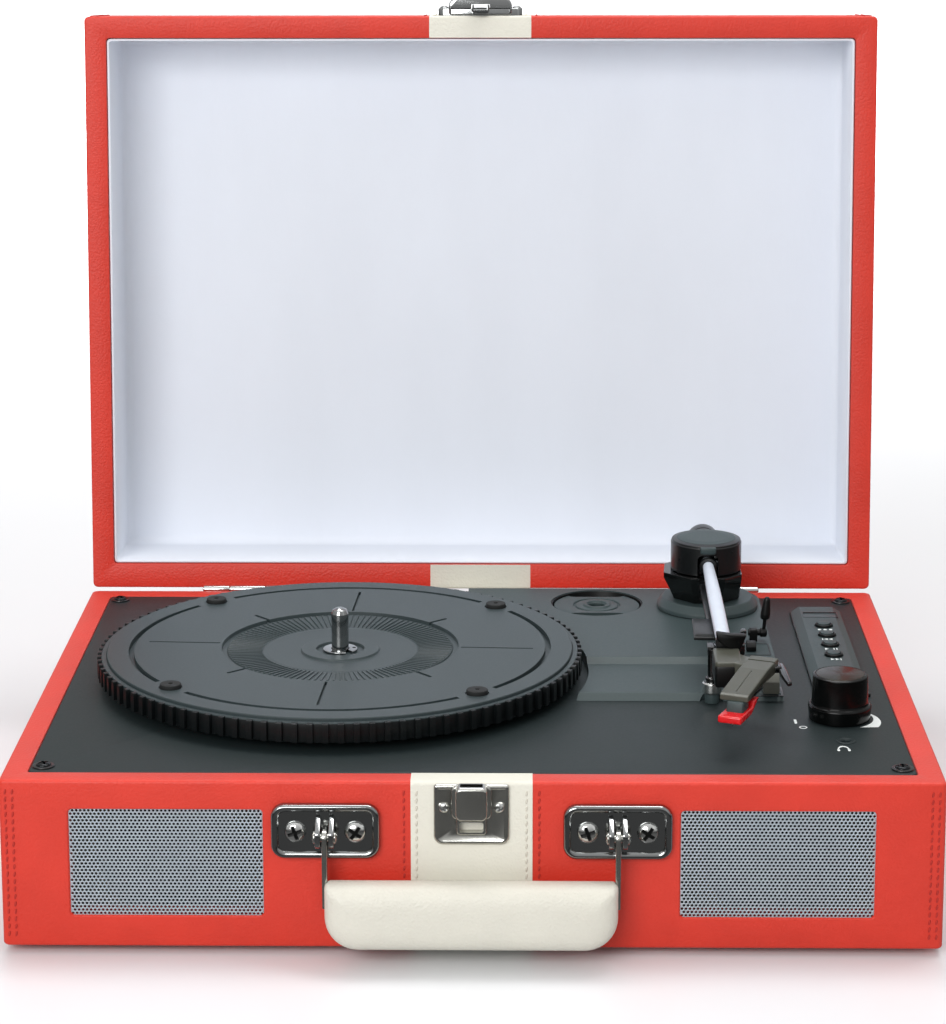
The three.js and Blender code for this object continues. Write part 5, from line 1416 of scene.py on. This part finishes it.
for side, sx in (("left", -1), ("right", 1)):
    x = sx * HANDLE_X
    plate = dished_plate(PLATE_W, PLATE_H, 5.0, PLATE_PROUD, PLATE_PROUD - PLATE_DISH, BEZEL)
    piece(f"handle_base_{side}", "root", PLATE, facing_front(plate, FRONT - SKIN, x, PLATE_Z),
          f"handle_plate_{side}", smooth=40)
    lugs = []
    for lx in (-2.5, 2.5):
        outline = fillet([(AXIS_Y - 3.2, AXIS_Z - 3.4, 2.8), (FRONT - 1.6, AXIS_Z - 4.8, 0.2),
                          (FRONT - 1.6, AXIS_Z + 7.6, 0.2), (AXIS_Y - 3.2, AXIS_Z + 2.6, 2.6)], 3.0, 8,
                         closed=True)
        lug = sideways(slab(outline, x + lx - 1, x + lx + 1, 0.35, 0.35))
        lugs.append(carve(lug, along_x(lathe([(0, x + lx - 3), (1.75, x + lx - 3), (1.75, x + lx + 3),
                                              (0, x + lx + 3)], n=28), AXIS_Y, AXIS_Z)))
    piece(f"handle_lugs_{side}", "root", CHROME, joined(*lugs), smooth=40)
    # The black cross fill in each handle screw is painted shade for the shadow in its recess.
    for part_name, shape, finish, slot_name in (("screws", PAN, NICKEL, "chrome"),
                                                ("screw_recess_shade", PAN_RECESS_SHADE, JET, "gloss_black")):
        placed = [facing_front(moved(shape, about_z(20 + 35 * k)),
                               FRONT - SKIN - PLATE_PROUD + PLATE_DISH, x + hx, PLATE_Z)
                  for k, hx in enumerate((-HANDLE_SCREW_X, HANDLE_SCREW_X))]
        piece(f"handle_{part_name}_{side}", "root", finish, joined(*placed), smooth=40)
    loop = [(AXIS_Y + dy, AXIS_Z + dz) for dy, dz in (polar(STRAP_R, a) for a in range(0, 181, 15))]
    outline = loop + [(AXIS_Y - STRAP_R, 30.4), (AXIS_Y - STRAP_R, 19), (AXIS_Y + STRAP_R, 19),
                      (AXIS_Y + STRAP_R, 30.4)]
    bar = sideways(slab(outline, x - 1, x + 1, 0.35, 0.35))
    rivet = along_x(lathe(fillet([(0, x - 4), (1.5, x - 4), (1.5, x + 4), (0, x + 4)], 0.4, 3), n=28), AXIS_Y,
                    AXIS_Z)
    ends = []
    for end in (-1, 1):
        cap_part = lathe(fillet([(0, 3.4), (1.5, 3.4), (2.3, 3.5), (2.3, 4.0, 0.2), (1.2, 4.7, 0.5),
                                 (0, 4.8)], 0.2, 3), n=28)
        cap_part = along_x(cap_part, AXIS_Y, AXIS_Z)
        ends.append(([(x + end * a, b, c) for a, b, c in cap_part[0]], cap_part[1]))
    piece(f"handle_strap_bar_{side}", "handle", LATCH, joined(bar, rivet, *ends),
          f"handle_strap_{side}", smooth=40)

# The grip: a leather pillow over foam. Its outline shrinks to a short middle line as it nears either face.
GRIP_X, GRIP_TOP, GRIP_LOW = 54.0, 29.6, 4.4
grip_back, grip_front = FRONT - 1.6, AXIS_Y - 12.5
grip_outline = fillet([(-GRIP_X, GRIP_TOP, 2.0), (-GRIP_X, GRIP_LOW, 21), (GRIP_X, GRIP_LOW, 21),
                       (GRIP_X, GRIP_TOP, 2.0)], 2, 10, closed=True)
dense = []
for i, p in enumerate(grip_outline):
    q = grip_outline[(i + 1) % len(grip_outline)]
    steps_here = max(1, int(dist(p, q) / 2.5))
    dense += [tuple(a + (b - a) * k / steps_here for a, b in zip(p, q)) for k in range(steps_here)]


def grip_loop(inward, y):
    """The outline drawn in towards the grip's middle line."""
    out = []
    for px, pz in dense:
        mid = Vector((max(-40, min(40, px)), (GRIP_TOP + GRIP_LOW) / 2))
        d = Vector((px, pz)) - mid
        keep = max(0.02, 1 - inward / (GRIP_TOP - GRIP_LOW) * 2)
        out.append((mid.x + d.x * keep, y, mid.y + d.y * keep))
    return out


half_thick, half_tall = (grip_back - grip_front) / 2, (GRIP_TOP - GRIP_LOW) / 2
grip_mid = (grip_back + grip_front) / 2
FULLNESS = 2.0 / 2.7
grip_loops = []
for k in range(33):
    a = radians(-86 + 172 * k / 32)
    reach_in = half_tall * (1 - cos(a) ** FULLNESS)
    grip_loops.append(grip_loop(reach_in, grip_mid + half_thick * copysign(abs(sin(a)) ** FULLNESS, a)))
slots = []
for sx in (-1, 1):
    slots.append(brick(min(sx * 52.8, sx * 59), max(sx * 52.8, sx * 59), AXIS_Y - 3.5, AXIS_Y + 3.5, 18.6, 40,
                       0.3))
grip = carve(loft(grip_loops), *slots)
grip_obj = piece("handle_leather", "handle", GRIP, grip, "handle_grip", smooth=50)

# ------------------------------------------------------------------ latch: keeper on the base
keeper_y = FRONT - SKIN
KEEPER_W, KEEPER_LOW, KEEPER_TOP = 28.0, 41.0, 64.3
keeper_outline = fillet([(-KEEPER_W / 2, KEEPER_LOW, 3.4), (KEEPER_W / 2, KEEPER_LOW, 3.4),
                         (KEEPER_W / 2, KEEPER_TOP, 1.2), (-KEEPER_W / 2, KEEPER_TOP, 1.2)], 1, 8,
                        closed=True)
window_cut = slab(rrect(8.8, 4.0, 0.8, 0, 48.6), -3, 6, 0)
keeper_plate = loft([[(x, z, out) for x, z in inset(keeper_outline, d)] for d, out in
                     ((0, 0), (0, 0.5), (0.2, 0.95), (0.6, 1.25), (1.0, 1.35), (1.5, 1.25), (1.8, 1.0))])
piece("latch_keeper_plate", "root", LATCH, facing_front(carve(keeper_plate, window_cut), keeper_y),
      "latch_keeper", smooth=40)


def front_box(x0, x1, z0, z1, out0, out1, r, edge):
    """A block on the front wall whose corners, seen from the front, have radius r."""
    return slab(rrect(x1 - x0, z1 - z0, r, (x0 + x1) / 2, (z0 + z1) / 2, 6), out0, out1, edge, 0, 5)


tongue_low, tongue_high = span("latch_tongue", shut=True)
TONGUE_HALF, TONGUE_NEAR, TONGUE_FAR, TONGUE_SHEET = 3.9, 1.8, 4.7, 0.9
box = front_box(-5.9, 5.9, 51.9, RIM - 0.2, 0.8, 6.8, 2.2, 1.2)
flange = front_box(-7.5, 7.5, 51.0, RIM - 0.7, 0.6, 2.4, 2.6, 0.8)


def slide_room(gap, z0, z1):
    """The space the tongue slides in, as (x, up, out)."""
    part = brick(-TONGUE_HALF - gap, TONGUE_HALF + gap, TONGUE_NEAR - gap, TONGUE_FAR + gap, z0, z1, 0.2)
    return [(a, c, b) for a, b, c in part[0]], part[1]


slot_cut = slide_room(0.3, 53.5, RIM + 2)
piece("latch_keeper_box", "root", LATCH, facing_front(carve(box, slot_cut), keeper_y), smooth=30)
piece("latch_keeper_flange", "root", LATCH, facing_front(carve(flange, slot_cut), keeper_y),
      smooth=30)
step_tab = carve(front_box(-5.6, 5.6, 45.4, 53, 0.8, 3.4, 1.4, 0.8), window_cut)
piece("latch_keeper_foot", "root", LATCH, facing_front(step_tab, keeper_y), smooth=35)
heads = [facing_front(moved(SMALL, about_z(30 * sx)), keeper_y - 1.2, sx * 10.1, 55.5) for sx in (-1, 1)]
piece("latch_keeper_screws", "root", NICKEL, joined(*heads), smooth=40)

# Latch body, tongue and tab ride on the lid; they are drawn with the lid shut.
WING_PROUD = 3.4
loops = []
for inset_by, z in ((0, 0), (0, WING_PROUD - 0.7), (0.15, WING_PROUD - 0.3), (0.5, WING_PROUD - 0.05),
                    (1.0, WING_PROUD), (1.8, WING_PROUD - 0.1)):
    loops.append([(x, y, z) for x, y in rrect(37 - 2 * inset_by, 21 - 2 * inset_by, 3.0 - inset_by * 0.7,
                                              n=8)])
wing_z = LID_RIM + 12.2
wings = facing_front(loft(loops), FRONT - SKIN, 0, wing_z)
CASE_HALF, CASE_LOW = 13.9, 66.0
CASE_OUT = keeper_y - span("latch_plate", shut=True)[0].y


def swept_up(section, z0, z1, edge=0.0):
    """A section of (x, out) raised from z0 to z1, as (x, up, out)."""
    part = slab(section, z0, z1, edge, edge)
    return [(a, c, b) for a, b, c in part[0]], part[1]


shoulders = fillet([(-CASE_HALF, 0.3, 1.0), (CASE_HALF, 0.3, 1.0), (CASE_HALF, CASE_OUT, 3.8),
                    (-CASE_HALF, CASE_OUT, 3.8)], 1, 8, closed=True)
case_box = swept_up(shoulders, CASE_LOW, 86.5, 0.7)
mouth = swept_up(fillet([(1.0 - CASE_HALF, 0.9), (CASE_HALF - 1.0, 0.9), (CASE_HALF - 1.0, 4.3),
                         (1.0 - CASE_HALF, 4.3)], 0.6, 4, closed=True), 60, CASE_LOW + 4.5)
cavity = slide_room(0.35, 60, tongue_high.z + 7)
heads = [shift(moved(SMALL, about_z(25 * sx)), sx * 16.1, wing_z, WING_PROUD - 0.3) for sx in (-1, 1)]
piece("latch_wings", "lid", CHROME, wings, "latch_plate", shut=True, smooth=40)
piece("latch_case", "lid", CHROME, facing_front(carve(case_box, mouth, cavity), keeper_y),
      shut=True, smooth=35)
piece("latch_wing_screws", "lid", CHROME, facing_front(joined(*heads), FRONT - SKIN), shut=True,
      smooth=40)
inside = TONGUE_HALF - TONGUE_SHEET
channel = [(-TONGUE_HALF, TONGUE_NEAR, 0.8), (TONGUE_HALF, TONGUE_NEAR, 0.8), (TONGUE_HALF, TONGUE_FAR),
           (inside, TONGUE_FAR), (inside, TONGUE_NEAR + TONGUE_SHEET), (-inside, TONGUE_NEAR + TONGUE_SHEET),
           (-inside, TONGUE_FAR), (-TONGUE_HALF, TONGUE_FAR)]
tongue = swept_up(fillet(channel, 0.2, 4, closed=True), tongue_low.z, tongue_high.z, 0.15)
piece("latch_tongue_bar", "latch_tongue", CHROME, facing_front(tongue, keeper_y), "latch_tongue",
      shut=True, smooth=35)
tab_low, tab_high = span("latch_tab", shut=True)
tab_points = [(tab_low.x, tab_low.z, 2.6), (tab_high.x, tab_low.z, 2.6), (tab_high.x, tab_high.z, 0.8),
              (tab_low.x, tab_high.z, 0.8)]
tab = slab(fillet(tab_points, 1, 8, closed=True), 0, tab_high.y - tab_low.y, 0.5, 0.3, 5)
dent = slab(rrect(7.4, 5.4, 2.4, 0, tab_low.z + 4.6, 8), (tab_high.y - tab_low.y) - 0.35, 5, 0)
piece("latch_tab_flap", "latch_tab", CHROME, facing_front(carve(tab, dent), tab_high.y),
      "latch_tab", shut=True, smooth=35)

# ------------------------------------------------------------------ hinges
HINGE_Y, HINGE_Z, HINGE_X = BACK + 2, RIM + 0.15, 105
LEAF, LEAF_HALF, LEAF_THICK, BARREL = 16.0, 20, 0.9, 1.8
LEAF_SCREW_X, LEAF_SCREW_Z = 14, 10
for side, sx in (("left", -1), ("right", 1)):
    x = sx * HINGE_X
    for owner, body, up in (("base", "root", -1), ("lid", "lid", 1)):
        z_near, z_far = HINGE_Z + up * 0.6, HINGE_Z + up * LEAF
        corners = [(x - LEAF_HALF, z_near, 0.6), (x + LEAF_HALF, z_near, 0.6), (x + LEAF_HALF, z_far, 3),
                   (x - LEAF_HALF, z_far, 3)]
        points = fillet(corners[::up], 1, 5, closed=True)
        leaf = slab(points, 0, LEAF_THICK, 0.25)
        bites = [(x - 8.3, x + 8.3)] if owner == "base" else [(x - 21, x - 7.7), (x + 7.7, x + 21)]
        bite_z = sorted((HINGE_Z - up * 4, HINGE_Z + up * 2.4))
        cuts = [slab([(a, bite_z[0]), (b, bite_z[0]), (b, bite_z[1]), (a, bite_z[1])], -1, 3, 0)
                for a, b in bites]
        screw_places = [(x + hx, HINGE_Z + up * LEAF_SCREW_Z) for hx in (-LEAF_SCREW_X, 0, LEAF_SCREW_X)]
        cuts += [slab(circle(1.5, *place, 24), 0.55, 3, 0) for place in screw_places]
        piece(f"hinge_leaf_{owner}_{side}", body, NICKEL, facing_back(carve(leaf, *cuts), BACK + SKIN),
              f"{owner}_hinge_leaf_{side}", shut=owner == "lid", smooth=35)
        spans = [(x - LEAF_HALF, x - 8.2), (x + 8.2, x + LEAF_HALF)]
        if owner == "lid":
            spans = [(x - 7.9, x + 7.9)]
        knuckles = [along_x(lathe(fillet([(1.05, a), (BARREL, a), (BARREL, b), (1.05, b)], 0.3, 3,
                                         closed=True), n=36, closed=True), HINGE_Y, HINGE_Z)
                    for a, b in spans]
        if owner == "base":
            knuckles.append(along_x(lathe(fillet([(0, x - 20.3), (1.0, x - 20.3), (1.0, x + 20.3),
                                                  (0, x + 20.3)], 0.3, 2), n=24), HINGE_Y, HINGE_Z))
        piece(f"hinge_knuckles_{owner}_{side}", body, NICKEL, joined(*knuckles),
              shut=owner == "lid", smooth=40)
        heads = [shift(scaled(SMALL, 0.72), *place, 0.62) for place in screw_places]
        piece(f"hinge_screws_{owner}_{side}", body, NICKEL, facing_back(joined(*heads), BACK + SKIN),
              shut=owner == "lid", smooth=40)

# ------------------------------------------------------------------ CAD pieces kept inside the case
KEPT = {"drive_motor": STEEL, "motor_pulley": SILVER, "drive_belt": RUBBER, "main_board": BOARD}
for name, finish in KEPT.items():
    obj = frame["nodes"][name]
    obj.data.materials.clear()
    obj.data.materials.append(finish)
